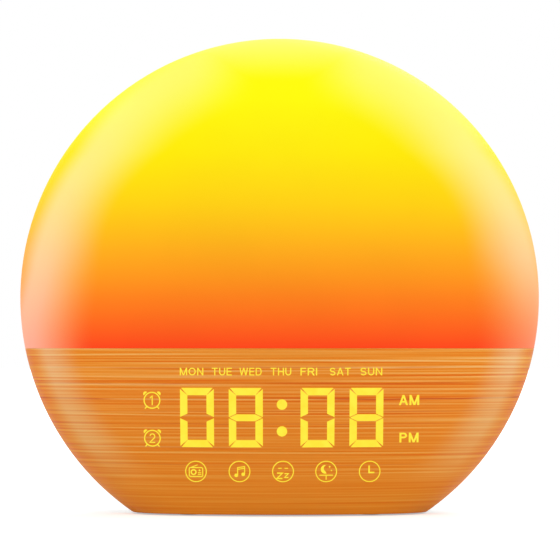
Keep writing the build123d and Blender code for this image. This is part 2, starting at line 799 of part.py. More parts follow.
with BuildPart() as rear_housing:
    add(rear_form(0))
    split(bisect_by=Plane.XY.offset(base_z), keep=Keep.TOP)
    fillet(floor_edges(rear_housing, rim_y), base_edge)
    add(rear_cavity, mode=Mode.SUBTRACT)
    add(shadow_line.part, mode=Mode.SUBTRACT)
    add(catch_ribs.part)
    # rebate for the rim tongue
    add(
        above(
            ring(disc_radius - rear_wall - overcut, tongue_outer + joint_clearance, rim_y,
                 tongue_length + joint_clearance),
            base_z + rear_wall,
        ),
        mode=Mode.SUBTRACT,
    )
    # screw pillars from the back wall to the tray bosses and to the fascia bosses
    with BuildSketch(station(rim_y + tray_boss_length + boss_gap)):
        with Locations(*tray_screw_points):
            Circle(housing_boss_radius)
    extrude(amount=-(back_inner_y - rim_y - tray_boss_length))
    with BuildSketch(station(rim_y + boss_gap)):
        with Locations(*fascia_screw_points):
            Circle(housing_boss_radius)
    extrude(amount=-(back_inner_y - rim_y))
    # posts for the boards and the speaker
    with BuildSketch(station(board_face_y)):
        with Locations(*board_post_points):
            Circle(board_post_radius)
    extrude(amount=-board_standoff - rear_wall / 2)
    with BuildSketch(station(speaker_face_y)):
        with Locations(*speaker_ear_points):
            Circle(speaker_post_radius)
    extrude(amount=-(back_inner_y - speaker_face_y) - rear_wall / 2)
    # deep screw holes
    tray_hole = back_y - rim_y - tray_boss_length - boss_gap
    with Locations(*[from_behind(x, back_y, z) for x, z in tray_screw_points]):
        CounterBoreHole(housing_screw_radius + joint_clearance,
                        housing_screw_head_radius + screw_head_clearance,
                        tray_hole - screw_land, depth=tray_hole + overcut)
    fascia_hole = back_y - rim_y - boss_gap
    with Locations(*[from_behind(x, back_y, z) for x, z in fascia_screw_points]):
        CounterBoreHole(housing_screw_radius + joint_clearance,
                        housing_screw_head_radius + screw_head_clearance,
                        fascia_hole - screw_land, depth=fascia_hole + overcut)
    # pilot holes
    with BuildSketch(station(board_face_y)):
        with Locations(*board_post_points):
            Circle(small_screw_hole)
    extrude(amount=-small_screw_length, mode=Mode.SUBTRACT)
    with BuildSketch(station(speaker_face_y)):
        with Locations(*speaker_ear_points):
            Circle(small_screw_hole)
    extrude(amount=-(small_screw_length - speaker_flange_thickness), mode=Mode.SUBTRACT)
    # speaker grille: rings of curved slots in a shallow dish
    with BuildSketch(station(back_y, axis_z)):
        Circle(grille_dish_radius)
    extrude(amount=grille_dish_depth, mode=Mode.SUBTRACT)
    with BuildSketch(station(back_y, axis_z)):
        for row, slots in enumerate(grille_slots):
            slot_ring = grille_first_ring + row * grille_ring_pitch
            bridge_turn = degrees((grille_bridge + grille_slot_width) / slot_ring)
            for index in range(slots):
                start = (index + 0.5) * full_circle / slots + quarter_circle + bridge_turn / 2
                SlotArc(arc_about_centre(slot_ring, start, full_circle / slots - bridge_turn),
                        grille_slot_width)
    extrude(amount=rear_wall + overcut, mode=Mode.SUBTRACT)
    # key apertures
    with BuildSketch(station(back_y, axis_z)):
        for angle, half_turn in key_places.values():
            key_outline(angle, half_turn, key_clearance)
    extrude(amount=rear_wall + overcut, mode=Mode.SUBTRACT)
    # sockets and wire gland
    with BuildSketch(station(back_y)):
        with Locations((power_inlet_at[0], power_inlet_z)):
            SlotOverall(power_inlet_size[0] + 2 * socket_clearance,
                        power_inlet_size[1] + 2 * socket_clearance)
        with Locations((charging_port_at[0], charging_port_z)):
            Rectangle(charging_port_size[0] + 2 * socket_clearance,
                      charging_port_size[1] + 2 * socket_clearance)
        with Locations((gland_x, gland_z)):
            Circle(gland_hole_radius)
    extrude(amount=rear_wall + overcut, mode=Mode.SUBTRACT)
    # bayonet well for the coin cell cap
    with BuildSketch(station(back_y, coin_cell_z)):
        with Locations((coin_cell_at[0], 0)):
            Circle(cap_radius + cap_clearance)
    extrude(amount=cap_thickness, mode=Mode.SUBTRACT)
    with BuildSketch(station(back_y, coin_cell_z)) as cap_opening:
        with Locations((coin_cell_at[0], 0)):
            Circle(cap_hub_radius + cap_clearance)
            for index in range(cap_lug_count):
                start = index * full_circle / cap_lug_count - cap_turn - cap_lug_angle / 2
                SlotArc(arc_about_centre(cap_lug_ring, start, cap_lug_angle),
                        cap_lug_reach + 2 * cap_clearance)
    extrude(amount=rear_wall + overcut, mode=Mode.SUBTRACT)
    # pockets for the rear feet
    with Locations((-rear_foot_at[0], rear_foot_at[1], base_z),
                   (rear_foot_at[0], rear_foot_at[1], base_z)):
        Cylinder(foot_radius + snug_clearance, foot_thickness - foot_proud,
                 align=(Align.CENTER, Align.CENTER, Align.MIN), mode=Mode.SUBTRACT)
save(rear_housing, "rear_housing")

# ---------------------------------------------------------------- keys and their switches
switch_face_y = board_face_y + switch_size[2]
plunger_top_y = switch_face_y + plunger_proud
key_bottom_y = back_inner_y - key_seat_gap
for name, (angle, half_turn) in key_places.items():
    x, z = on_ring(key_ring, angle)
    with BuildPart() as key:
        with BuildSketch(station(key_bottom_y, axis_z)):
            key_outline(angle, half_turn, 0)
        extrude(amount=-(back_y + key_proud - key_bottom_y))
        chamfer(key.faces().sort_by(Axis.Y)[-1].edges(), key_edge)
        with BuildSketch(station(key_bottom_y, axis_z)):
            key_outline(angle, half_turn, key_lip)
        extrude(amount=key_flange)
        with BuildSketch(station(key_bottom_y - key_flange)):
            with Locations((x, z)):
                Circle(key_stem_radius)
        extrude(amount=key_bottom_y - key_flange - plunger_top_y)
    save(key, f"{name}_key")
    with BuildPart() as plunger:
        with BuildSketch(station(plunger_top_y)):
            with Locations((x, z)):
                Circle(plunger_radius)
        extrude(amount=plunger_proud + plunger_seated)
    save(plunger, f"{name}_plunger")

switch_points = [on_ring(key_ring, angle) for angle, half_turn in key_places.values()]
with BuildPart() as tact_switches:
    with Locations(*[(x, board_face_y, z) for x, z in switch_points]):
        Box(switch_size[0], switch_size[2], switch_size[1],
            align=(Align.CENTER, Align.MIN, Align.CENTER))
    with BuildSketch(station(switch_face_y)):
        with Locations(*switch_points):
            Circle(plunger_radius + plunger_clearance)
    extrude(amount=plunger_seated + key_travel + boss_gap, mode=Mode.SUBTRACT)
save(tact_switches, "tact_switches")

key_board_start = first_key_angle - key_board_end_margin
with BuildPart() as key_board:
    with BuildSketch(station(board_face_y, axis_z)):
        with BuildLine():
            CenterArc((0, 0), key_board_outer, key_board_start, half_circle - 2 * key_board_start)
            CenterArc((0, 0), key_board_inner, key_board_start, half_circle - 2 * key_board_start)
            for side in (-1, 1):
                reach = (cos(radians(key_board_start)) * side, sin(radians(key_board_start)))
                Line((reach[0] * key_board_inner, reach[1] * key_board_inner),
                     (reach[0] * key_board_outer, reach[1] * key_board_outer))
        make_face()
    extrude(amount=board_thickness)
    with BuildSketch(station(board_face_y)):
        with Locations(*key_board_post_points):
            Circle(small_screw_hole)
    extrude(amount=board_thickness, mode=Mode.SUBTRACT)
save(key_board, "key_board")

# ---------------------------------------------------------------- main board
board_front_y = board_face_y - board_thickness
with BuildPart() as main_board:
    with BuildSketch(station(board_face_y, main_board_z)):
        RectangleRounded(*main_board_size, board_post_radius)
    extrude(amount=board_thickness)
    with BuildSketch(station(board_face_y)):
        with Locations(*main_board_post_points):
            Circle(small_screw_hole)
    extrude(amount=board_thickness, mode=Mode.SUBTRACT)
save(main_board, "main_board")

with BuildPart() as board_chips:
    for chip_place, chip_size in zip(chip_places, chip_sizes):
        with BuildSketch(station(board_front_y, main_board_z)):
            with Locations(chip_place):
                Rectangle(*chip_size)
        extrude(amount=chip_height)
save(board_chips, "board_chips")

with BuildPart() as board_capacitors:
    with BuildSketch(station(board_front_y, main_board_z)):
        with Locations(*[(main_board_size[0] / 2 - inset, z) for inset, z in capacitor_places]):
            Circle(capacitor_radius)
    extrude(amount=capacitor_height)
save(board_capacitors, "board_capacitors")

board_screw_places = [
    Plane(origin=(x, board_front_y, z), z_dir=(0, -1, 0)).location for x, z in board_post_points
]
board_screws = screws(board_screw_places, small_screw_radius, small_screw_head_radius,
                      small_screw_head, small_screw_length)
board_screws.label = "board_screws"
export_step(board_screws, "parts/board_screws.step")

# ---------------------------------------------------------------- flat cables and connectors
# The display, lamp and key boards each have a cable from a connector to one on the main board.
forward = Vector(0, -1, 0)
display_socket = display_back.from_local_coords(
    (display_cable_at[0] - display_shift, (base_z + display_cable_at[1] - display_z) / lean, 0)
)
lamp_socket = Vector(lamp_cable_at[0], lamp_board_y, base_z + lamp_cable_at[1])
key_socket_x, key_socket_z = on_ring(key_board_inner + key_cable_inset, key_cable_angle)
key_socket = Vector(key_socket_x, board_front_y, key_socket_z)
cable_runs = (
    (display_socket, -display_plane.z_dir, display_cable_end),
    (lamp_socket, -forward, lamp_cable_end),
    (key_socket, forward, key_cable_end),
)


def cable_side(start, end):
    """Plane along a cable and its leads, with the cable's width across it."""
    along = Vector(end.X - start.X, 0, end.Z - start.Z).normalized()
    return Plane(origin=start, x_dir=(0, 1, 0), z_dir=Vector(0, 1, 0).cross(along))


board_connectors = BuildPart()
flat_cables = BuildPart()
for start, way_out, (end_x, end_height) in cable_runs:
    end = Vector(end_x, board_front_y, base_z + end_height)
    side = cable_side(start, end)
    with board_connectors:
        for socket, way in ((start, way_out), (end, forward)):
            with Locations(Plane(origin=socket, x_dir=side.z_dir, z_dir=way).location):
                Box(*connector_size, align=(Align.CENTER, Align.CENTER, Align.MIN))
    leads = [
        start + way_out * connector_size[2],
        start + way_out * (connector_size[2] + cable_lead),
        end + forward * (connector_size[2] + cable_lead),
        end + forward * connector_size[2],
    ]
    with flat_cables:
        with BuildSketch(side):
            with BuildLine():
                Polyline(*[side.to_local_coords(corner) for corner in leads])
            trace(line_width=cable_thickness)
        extrude(amount=cable_width / 2, both=True)
save(board_connectors, "board_connectors")
save(flat_cables, "flat_cables")

# ---------------------------------------------------------------- coin cell, holder and cap
cap_face_y = back_y - cap_thickness
lug_back_y = back_inner_y - cap_lug_gap
cap_bottom_y = lug_back_y - cap_lug_thickness
coin_cell_y = cap_bottom_y - assembly_clearance
with BuildPart() as cell_cap:
    with BuildSketch(station(back_y, coin_cell_z)):
        with Locations((coin_cell_at[0], 0)):
            Circle(cap_radius)
    extrude(amount=cap_thickness)
    with BuildSketch(station(cap_face_y, coin_cell_z)):
        with Locations((coin_cell_at[0], 0)):
            Circle(cap_hub_radius)
    extrude(amount=cap_face_y - cap_bottom_y)
    with BuildSketch(station(lug_back_y, coin_cell_z)):
        with Locations((coin_cell_at[0], 0)):
            for index in range(cap_lug_count):
                start = index * full_circle / cap_lug_count - cap_lug_angle / 2
                SlotArc(arc_about_centre(cap_lug_ring, start, cap_lug_angle), cap_lug_reach)
    extrude(amount=cap_lug_thickness)
    with Locations((coin_cell_at[0], back_y, coin_cell_z)):
        Box(cap_slot[0], cap_slot[2], cap_slot[1],
            align=(Align.CENTER, Align.MAX, Align.CENTER), mode=Mode.SUBTRACT)
save(cell_cap, "coin_cell_cap")

with BuildPart() as coin_cell:
    with BuildSketch(station(coin_cell_y, coin_cell_z)):
        with Locations((coin_cell_at[0], 0)):
            Circle(coin_cell_radius)
    extrude(amount=coin_cell_thickness)
    chamfer(coin_cell.edges(), coin_cell_edge)
save(coin_cell, "coin_cell")

cell_floor_y = coin_cell_y - coin_cell_thickness - assembly_clearance
with BuildPart() as cell_holder:
    with BuildSketch(station(board_face_y, coin_cell_z)):
        with Locations((coin_cell_at[0], 0)):
            Circle(coin_cell_radius + assembly_clearance + holder_wall)
    extrude(amount=-(coin_cell_y - assembly_clearance - board_face_y))
    with BuildSketch(station(coin_cell_y, coin_cell_z)):
        with Locations((coin_cell_at[0], 0)):
            Circle(coin_cell_radius + assembly_clearance)
    extrude(amount=coin_cell_y - cell_floor_y, mode=Mode.SUBTRACT)
save(cell_holder, "coin_cell_holder")

# ---------------------------------------------------------------- sockets and wire gland
socket_mouth_y = back_y - socket_recess
with BuildPart() as power_inlet_shell:
    with BuildSketch(station(socket_mouth_y, power_inlet_z)):
        with Locations((power_inlet_at[0], 0)):
            SlotOverall(*power_inlet_size)
            SlotOverall(power_inlet_size[0] - 2 * socket_wall,
                        power_inlet_size[1] - 2 * socket_wall, mode=Mode.SUBTRACT)
    extrude(amount=socket_mouth_y - board_face_y)
save(power_inlet_shell, "power_inlet_shell")

with BuildPart() as power_inlet_core:
    with BuildSketch(station(board_face_y, power_inlet_z)):
        with Locations((power_inlet_at[0], 0)):
            SlotOverall(power_inlet_size[0] - 2 * socket_wall - 2 * snug_clearance,
                        power_inlet_size[1] - 2 * socket_wall - 2 * snug_clearance)
    extrude(amount=-socket_core_depth)
    with BuildSketch(station(board_face_y, power_inlet_z)):
        with Locations((power_inlet_at[0], 0)):
            Rectangle(*power_inlet_tongue)
    extrude(amount=-(socket_mouth_y - tongue_recess - board_face_y))
save(power_inlet_core, "power_inlet_core")

with BuildPart() as charging_port_shell:
    with BuildSketch(station(socket_mouth_y, charging_port_z)):
        with Locations((charging_port_at[0], 0)):
            Rectangle(*charging_port_size)
            Rectangle(charging_port_size[0] - 2 * socket_wall,
                      charging_port_size[1] - 2 * socket_wall, mode=Mode.SUBTRACT)
    extrude(amount=socket_mouth_y - board_face_y)
save(charging_port_shell, "charging_port_shell")

with BuildPart() as charging_port_core:
    with BuildSketch(station(board_face_y, charging_port_z)):
        with Locations((charging_port_at[0], 0)):
            Rectangle(charging_port_size[0] - 2 * socket_wall - 2 * snug_clearance,
                      charging_port_size[1] - 2 * socket_wall - 2 * snug_clearance)
    extrude(amount=-socket_core_depth)
    with BuildSketch(station(board_face_y, charging_port_z)):
        with Locations((charging_port_at[0], charging_port_tongue[1] / 2)):
            Rectangle(*charging_port_tongue)
    extrude(amount=-(socket_mouth_y - tongue_recess - board_face_y))
save(charging_port_core, "charging_port_core")

gland_neck = gland_hole_radius - snug_clearance
gland_flange = gland_hole_radius + gland_lip
gland_profile = (
    (gland_bore_radius, back_y + gland_proud),
    (gland_flange, back_y + gland_proud / 2),
    (gland_flange, back_y),
    (gland_neck, back_y),
    (gland_neck, back_inner_y),
    (gland_flange, back_inner_y),
    (gland_hole_radius, back_inner_y - gland_lip),
    (gland_bore_radius, back_inner_y - gland_lip),
)
with BuildPart() as wire_gland:
    with BuildSketch(Plane.XY.offset(gland_z)):
        with BuildLine():
            Polyline(*[(gland_x + radius, y) for radius, y in gland_profile], close=True)
        make_face()
    revolve(axis=Axis((gland_x, 0, gland_z), (0, 1, 0)))
save(wire_gland, "wire_gland")

# ---------------------------------------------------------------- speaker
flange_back_y = speaker_face_y - speaker_flange_thickness
plate_y = speaker_face_y - speaker_depth
flange_inner = speaker_radius - speaker_flange_width


def round_piece(*profile):
    """Body turned about the disc axis from (radius, depth) corners."""
    with BuildPart() as turned:
        with BuildSketch(Plane.XY.offset(axis_z)):
            with BuildLine():
                Polyline(*profile, close=True)
            make_face()
        revolve(axis=disc_axis)
    return turned.part


with BuildPart() as speaker_basket:
    add(round_piece(
        (speaker_radius, speaker_face_y),
        (speaker_radius, flange_back_y),
        (flange_inner + speaker_wall, flange_back_y),
        (speaker_plate_radius, plate_y),
        (voice_coil_radius + assembly_clearance, plate_y),
        (voice_coil_radius + assembly_clearance, plate_y + speaker_wall),
        (speaker_plate_radius - speaker_wall, plate_y + speaker_wall),
        (flange_inner, flange_back_y + speaker_wall / 2),
        (flange_inner, speaker_face_y),
    ))
    with BuildSketch(station(speaker_face_y)):
        with Locations(*speaker_ear_points):
            Circle(speaker_ear_radius)
        with Locations((0, axis_z)):
            Circle(speaker_radius - speaker_wall, mode=Mode.SUBTRACT)
    extrude(amount=speaker_flange_thickness)
    with Locations(*[from_behind(x, speaker_face_y, z) for x, z in speaker_ear_points]):
        Hole(small_screw_hole, depth=2 * speaker_flange_thickness)
    window_reach = flange_back_y - plate_y - 3 * speaker_wall
    with BuildSketch(station(flange_back_y - speaker_wall, axis_z)):
        for angle in (0, quarter_circle):
            Rectangle(2 * speaker_radius, speaker_plate_radius, rotation=angle)
        Circle(speaker_plate_radius - speaker_wall / 2, mode=Mode.SUBTRACT)
        Circle(flange_inner + speaker_wall, mode=Mode.INTERSECT)
    extrude(amount=window_reach, mode=Mode.SUBTRACT)
save(speaker_basket, "speaker_basket")

surround_inner = flange_inner - roll_width
roll_shoulder = roll_width / 4
with BuildPart() as speaker_surround:
    add(round_piece(
        (flange_inner + speaker_flange_width / 2 - roll_wall, speaker_face_y),
        (flange_inner + speaker_flange_width / 2 - roll_wall, speaker_face_y + roll_wall),
        (flange_inner, speaker_face_y + roll_wall),
        (flange_inner - roll_shoulder, speaker_face_y + roll_rise),
        (surround_inner + roll_shoulder, speaker_face_y + roll_rise),
        (surround_inner, speaker_face_y),
        (surround_inner + roll_wall, speaker_face_y),
        (surround_inner + roll_shoulder + roll_wall / 2, speaker_face_y + roll_rise - roll_wall),
        (flange_inner - roll_shoulder - roll_wall / 2, speaker_face_y + roll_rise - roll_wall),
        (flange_inner - roll_wall, speaker_face_y),
    ))
save(speaker_surround, "speaker_surround")

dust_cap_y = plate_y + cone_neck + dust_cap_step
with BuildPart() as speaker_cone:
    add(round_piece(
        (surround_inner + roll_wall, speaker_face_y),
        (surround_inner + roll_wall, speaker_face_y - cone_wall),
        (voice_coil_radius, plate_y + cone_neck),
        (voice_coil_radius, plate_y - coil_dip),
        (voice_coil_radius - cone_wall, plate_y - coil_dip),
        (voice_coil_radius - cone_wall, dust_cap_y),
        (0, dust_cap_y + dust_cap_rise),
        (0, dust_cap_y + dust_cap_rise + cone_wall),
        (voice_coil_radius, dust_cap_y + cone_wall),
    ))
save(speaker_cone, "speaker_cone")

magnet_y = plate_y - magnet_thickness
with BuildPart() as speaker_magnet:
    add(ring(voice_coil_radius + coil_gap, magnet_radius, magnet_y, magnet_thickness))
save(speaker_magnet, "speaker_magnet")

with BuildPart() as speaker_yoke:
    add(round_piece(
        (0, magnet_y - yoke_thickness),
        (magnet_radius - yoke_setback, magnet_y - yoke_thickness),
        (magnet_radius - yoke_setback, magnet_y),
        (voice_coil_radius - pole_gap, magnet_y),
        (voice_coil_radius - pole_gap, plate_y),
        (0, plate_y),
    ))
save(speaker_yoke, "speaker_yoke")

with BuildPart() as speaker_gasket:
    add(ring(speaker_radius - speaker_flange_width / 2 + gasket_inset,
             speaker_radius - gasket_inset, speaker_face_y, speaker_gasket_thickness))
save(speaker_gasket, "speaker_gasket")

with BuildPart() as speaker_mesh:
    with BuildSketch(station(back_inner_y, axis_z)):
        Circle(speaker_radius - gasket_inset)
    extrude(amount=speaker_mesh_thickness)
save(speaker_mesh, "speaker_mesh")

speaker_screw_places = [
    Plane(origin=(x, flange_back_y, z), z_dir=(0, -1, 0)).location for x, z in speaker_ear_points
]
speaker_screws = screws(speaker_screw_places, small_screw_radius, small_screw_head_radius,
                        small_screw_head, small_screw_length - speaker_flange_thickness)
speaker_screws.label = "speaker_screws"
export_step(speaker_screws, "parts/speaker_screws.step")

# ---------------------------------------------------------------- housing screws and feet
tray_land_y = rim_y + tray_boss_length + boss_gap + screw_land
fascia_land_y = rim_y + boss_gap + screw_land
housing_screw_places = [from_behind(x, tray_land_y, z) for x, z in tray_screw_points]
housing_screw_places += [from_behind(x, fascia_land_y, z) for x, z in fascia_screw_points]
housing_screws = screws(housing_screw_places, housing_screw_radius, housing_screw_head_radius,
                        housing_screw_head, screw_land + housing_screw_bite)
housing_screws.label = "housing_screws"
export_step(housing_screws, "parts/housing_screws.step")

foot_points = [
    (side * x, y) for x, y in (front_foot_at, rear_foot_at) for side in (-1, 1)
]
with BuildPart() as rubber_feet:
    with BuildSketch(Plane.XY):
        with Locations(*foot_points):
            Circle(foot_radius)
    extrude(amount=foot_thickness)
    chamfer(rubber_feet.faces().group_by(Axis.Z)[0].edges(), foot_edge)
save(rubber_feet, "rubber_feet")
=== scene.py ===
from math import cos, hypot, pi, radians, sin, sqrt

import bmesh
import bpy
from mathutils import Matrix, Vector


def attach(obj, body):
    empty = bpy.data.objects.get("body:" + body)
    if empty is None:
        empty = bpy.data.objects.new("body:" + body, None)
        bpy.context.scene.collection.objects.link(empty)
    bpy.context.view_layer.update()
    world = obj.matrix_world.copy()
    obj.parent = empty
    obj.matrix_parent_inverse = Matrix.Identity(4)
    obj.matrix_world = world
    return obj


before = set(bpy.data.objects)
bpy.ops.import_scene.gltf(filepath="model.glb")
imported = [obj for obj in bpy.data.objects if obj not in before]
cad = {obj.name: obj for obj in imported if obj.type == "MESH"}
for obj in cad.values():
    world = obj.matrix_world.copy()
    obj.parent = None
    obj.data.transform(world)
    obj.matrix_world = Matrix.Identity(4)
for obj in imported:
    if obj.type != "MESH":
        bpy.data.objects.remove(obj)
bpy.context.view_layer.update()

scene = bpy.context.scene
scene.view_settings.view_transform = "Standard"

# ------------------------------------------------------------------------------------ camera
# A long lens level with the joint between dome and fascia, tipped up a little so that the round
# front sits in the square view with its level joint below the middle.
joint_height = 0.0634
rim_y = 0.00375
camera_x = 0.00015
camera_distance = 1.160
camera_tip = radians(1.3036)
lens_length = 193.22
sensor_width = 36.0
furthest_seen = 30.0
lens_data = bpy.data.cameras.new("studio_camera")
lens_data.sensor_fit = "HORIZONTAL"
lens_data.sensor_width = sensor_width
lens_data.lens = lens_length
lens_data.clip_end = furthest_seen
studio_camera = bpy.data.objects.new("studio_camera", lens_data)
studio_camera.location = (camera_x, rim_y - camera_distance, joint_height)
studio_camera.rotation_euler = (pi / 2 + camera_tip, 0.0, 0.0)
scene.collection.objects.link(studio_camera)
scene.camera = studio_camera

# ------------------------------------------------------------------------------------ lamp dome
# Opal shell over the lamp: injection-moulded milky plastic, smooth outside, lit from behind by
# three rings of LEDs. It glows lemon at the crown and ember red at the joint, with painted
# highlights down each side and across the top.
dome_top = 0.1830
glow_strength = 0.66
unlit_part = 0.36
band_centre_x = 0.00175
band_centre_height = 0.0755
band_radius = 0.09575
band_inside = 0.0205
low_band_inside = 0.0285
band_outside = 0.0095
high_band_outside = 0.0079
low_band_drift = 0.0045
high_band_drift = 0.0075
band_strength = 0.40
high_band_strength = 0.18
right_band_loss = 0.42
top_highlight_height = 0.019
top_highlight_strength = 0.19


def shade(red, green, blue):
    """A colour on the 0 to 255 scale of a paint card, as the linear values that nodes take."""
    parts = []
    for part in (red, green, blue):
        part /= 255
        parts.append(part / 12.92 if part <= 0.04045 else ((part + 0.055) / 1.055) ** 2.4)
    return (*parts, 1.0)


def grey(part):
    """A neutral grey that gives back this part of the light."""
    return (part, part, part, 1.0)


def place(tree, kind, **settings):
    """Adds a node and fills in its inputs by name, or its properties where no input fits."""
    node = tree.nodes.new("ShaderNode" + kind)
    for name, value in settings.items():
        inlet = name.replace("_", " ")
        if inlet in node.inputs:
            node.inputs[inlet].default_value = value
        else:
            setattr(node, name, value)
    return node


def feed(tree, inlet, term):
    """Gives a node's inlet another node's result, or a plain value."""
    if isinstance(term, bpy.types.NodeSocket):
        tree.links.new(term, inlet)
    else:
        inlet.default_value = term


def sums(tree, operation, first, second=0.0):
    """A Math node on one or two terms, each a result or a number. Gives its result."""
    node = place(tree, "Math", operation=operation)
    feed(tree, node.inputs[0], first)
    feed(tree, node.inputs[1], second)
    return node.outputs[0]


def blend_colours(tree, factor, first, second, way="MIX"):
    """Two colours mixed by a factor, each a result or a plain value. Gives the colour."""
    node = place(tree, "Mix", data_type="RGBA", blend_type=way)
    for number, term in ((0, factor), (6, first), (7, second)):
        feed(tree, node.inputs[number], term)
    return node.outputs[2]


def dimmed(tree, colour, brightness):
    """A colour made lighter or darker by a result. Gives the colour."""
    node = place(tree, "HueSaturation")
    tree.links.new(colour, node.inputs["Color"])
    tree.links.new(brightness, node.inputs["Value"])
    return node.outputs[0]


def ramp(tree, source, stops):
    """A colour ramp over a result, from (position, colour) stops."""
    node = place(tree, "ValToRGB")
    marks = node.color_ramp.elements
    while len(marks) < len(stops):
        marks.new(0.5)
    for mark, (position, colour) in zip(marks, stops):
        mark.position = position
        mark.color = colour
    tree.links.new(source, node.inputs[0])
    return node.outputs[0]


def between(tree, source, low, high, new_low=0.0, new_high=1.0, curve="SMOOTHSTEP"):
    """Fits a result's span from low to high onto a new span. Each end is a result or a number."""
    node = place(tree, "MapRange", interpolation_type=curve)
    for name, term in (("Value", source), ("From Min", low), ("From Max", high),
                       ("To Min", new_low), ("To Max", new_high)):
        feed(tree, node.inputs[name], term)
    return node.outputs[0]


def new_finish(name):
    """An empty material: gives it, its node tree, its shader and the piece's own coordinates."""
    material = bpy.data.materials.new(name)
    material.use_nodes = True
    tree = material.node_tree
    tree.nodes.remove(tree.nodes["Principled BSDF"])
    shader = place(tree, "BsdfPrincipled")
    tree.links.new(shader.outputs[0], tree.nodes["Material Output"].inputs[0])
    where = place(tree, "TexCoord").outputs["Object"]
    return material, tree, shader, where


def sideways_and_up(tree, where):
    """How far a point lies towards +X of the object's middle, and how high."""
    split = place(tree, "SeparateXYZ")
    tree.links.new(where, split.inputs[0])
    return split.outputs[0], split.outputs[2]


def reach_from(tree, where, centre_x, centre_height):
    """How far a point lies from a centre, measured over the face of the clock."""
    off_centre = place(tree, "VectorMath", operation="SUBTRACT")
    off_centre.inputs[1].default_value = (centre_x, 0.0, centre_height)
    tree.links.new(where, off_centre.inputs[0])
    flat = place(tree, "VectorMath", operation="MULTIPLY")
    flat.inputs[1].default_value = (1.0, 0.0, 1.0)
    tree.links.new(off_centre.outputs[0], flat.inputs[0])
    length = place(tree, "VectorMath", operation="LENGTH")
    tree.links.new(flat.outputs[0], length.inputs[0])
    return length.outputs["Value"]


def grained(tree, where, stretch, detail=3.0, roughness=0.5, shift=(0, 0, 0)):
    """Noise over the piece's coordinates, stretched along each axis. Gives its value."""
    mapping = place(tree, "Mapping", Scale=stretch, Location=shift)
    tree.links.new(where, mapping.inputs[0])
    noise = place(tree, "TexNoise", Scale=1.0, Detail=detail, Roughness=roughness)
    tree.links.new(mapping.outputs[0], noise.inputs["Vector"])
    return noise.outputs[0]


def skin(tree, shader, colour, roughness):
    """Gives the shader a colour and a roughness that change over the surface."""
    tree.links.new(colour, shader.inputs["Base Color"])
    tree.links.new(roughness, shader.inputs["Roughness"])


def shine(tree, shader, colour, strength):
    """Lets the surface give off light of its own."""
    tree.links.new(colour, shader.inputs["Emission Color"])
    shader.inputs["Emission Strength"].default_value = strength


def raised(tree, shader, height, strength, distance):
    """Turns a height into the shader's surface relief."""
    bump = place(tree, "Bump", Strength=strength, Distance=distance)
    tree.links.new(height, bump.inputs["Height"])
    tree.links.new(bump.outputs[0], shader.inputs["Normal"])


def dress(material, *nodes):
    """Gives CAD nodes one finish all over."""
    for node in nodes:
        cad[node].data.materials.clear()
        cad[node].data.materials.append(material)


opal_dome, tree, shader, where = new_finish("opal_dome")
sideways, height = sideways_and_up(tree, where)
glow = ramp(tree, between(tree, height, joint_height, dome_top, curve="LINEAR"), [
    (0.00, shade(255, 70, 27)),
    (0.08, shade(255, 104, 28)),
    (0.16, shade(255, 130, 28)),
    (0.30, shade(255, 171, 26)),
    (0.45, shade(255, 208, 14)),
    (0.61, shade(255, 233, 0)),
    (0.78, shade(255, 249, 0)),
    (1.00, shade(255, 254, 8)),
])
# a painted highlight follows the rolled shoulder in a soft band down each side, and lies a
# little further out near the joint and near the top
outward = reach_from(tree, where, band_centre_x, band_centre_height)
for drift in (
    between(tree, height, 0.095, joint_height, 0.0, low_band_drift),
    between(tree, height, 0.138, 0.173, 0.0, high_band_drift, "LINEAR"),
):
    outward = sums(tree, "SUBTRACT", outward, drift)
# the band widens inwards as it nears the joint, and higher up it ends short of the rim
band_start = between(tree, height, 0.125, 0.070, band_radius - band_inside,
                     band_radius - low_band_inside)
band_end = between(tree, height, 0.086, 0.118, band_radius + band_outside,
                   band_radius + high_band_outside)
side_highlight = sums(tree, "MULTIPLY", between(tree, outward, band_start, band_radius),
            between(tree, outward, band_end, band_radius))
# it weakens towards the top, a little at the joint, in the middle, and low down on the +X side
for fade in (
    between(tree, height, 0.172, 0.098, high_band_strength, band_strength, "LINEAR"),
    between(tree, height, joint_height, 0.085, 0.95, 1.0),
    between(tree, sums(tree, "ABSOLUTE", sideways), 0.008, 0.035),
    sums(tree, "SUBTRACT", 1.0, sums(tree, "MULTIPLY", between(tree, sideways, 0.0, 0.06),
                                     between(tree, height, 0.118, 0.066, 0.0, right_band_loss))),
):
    side_highlight = sums(tree, "MULTIPLY", side_highlight, fade)
# a painted highlight pales the top of the rim too, in a strip across the crown
top_highlight = between(tree, height, dome_top - top_highlight_height, dome_top, 0.0, top_highlight_strength)
# near the joint the painted highlight is warmer where it fades out
highlight_warmth = sums(tree, "MULTIPLY", between(tree, side_highlight, 0.36, 0.04, curve="LINEAR"),
              between(tree, height, 0.104, 0.088))
highlight_colour = blend_colours(tree, highlight_warmth, shade(255, 255, 225), shade(255, 255, 165))
# the glow with the painted highlights mixed in
glow_and_highlights = blend_colours(tree, sums(tree, "MAXIMUM", side_highlight, top_highlight), glow, highlight_colour)
mottle = between(tree, grained(tree, where, (30, 30, 30), 2.0), 0.3, 0.7, 0.985, 1.015)
mottled = dimmed(tree, glow_and_highlights, mottle)
shine(tree, shader, mottled, glow_strength)
skin(tree, shader, blend_colours(tree, 1.0, mottled, grey(unlit_part), "MULTIPLY"),
     between(tree, grained(tree, where, (900, 900, 900)), 0.3, 0.7, 0.46, 0.54))
shader.inputs["Specular IOR Level"].default_value = 0.05
raised(tree, shader, grained(tree, where, (400, 400, 400)), 0.05, 0.0002)
dress(opal_dome, "lamp_dome")

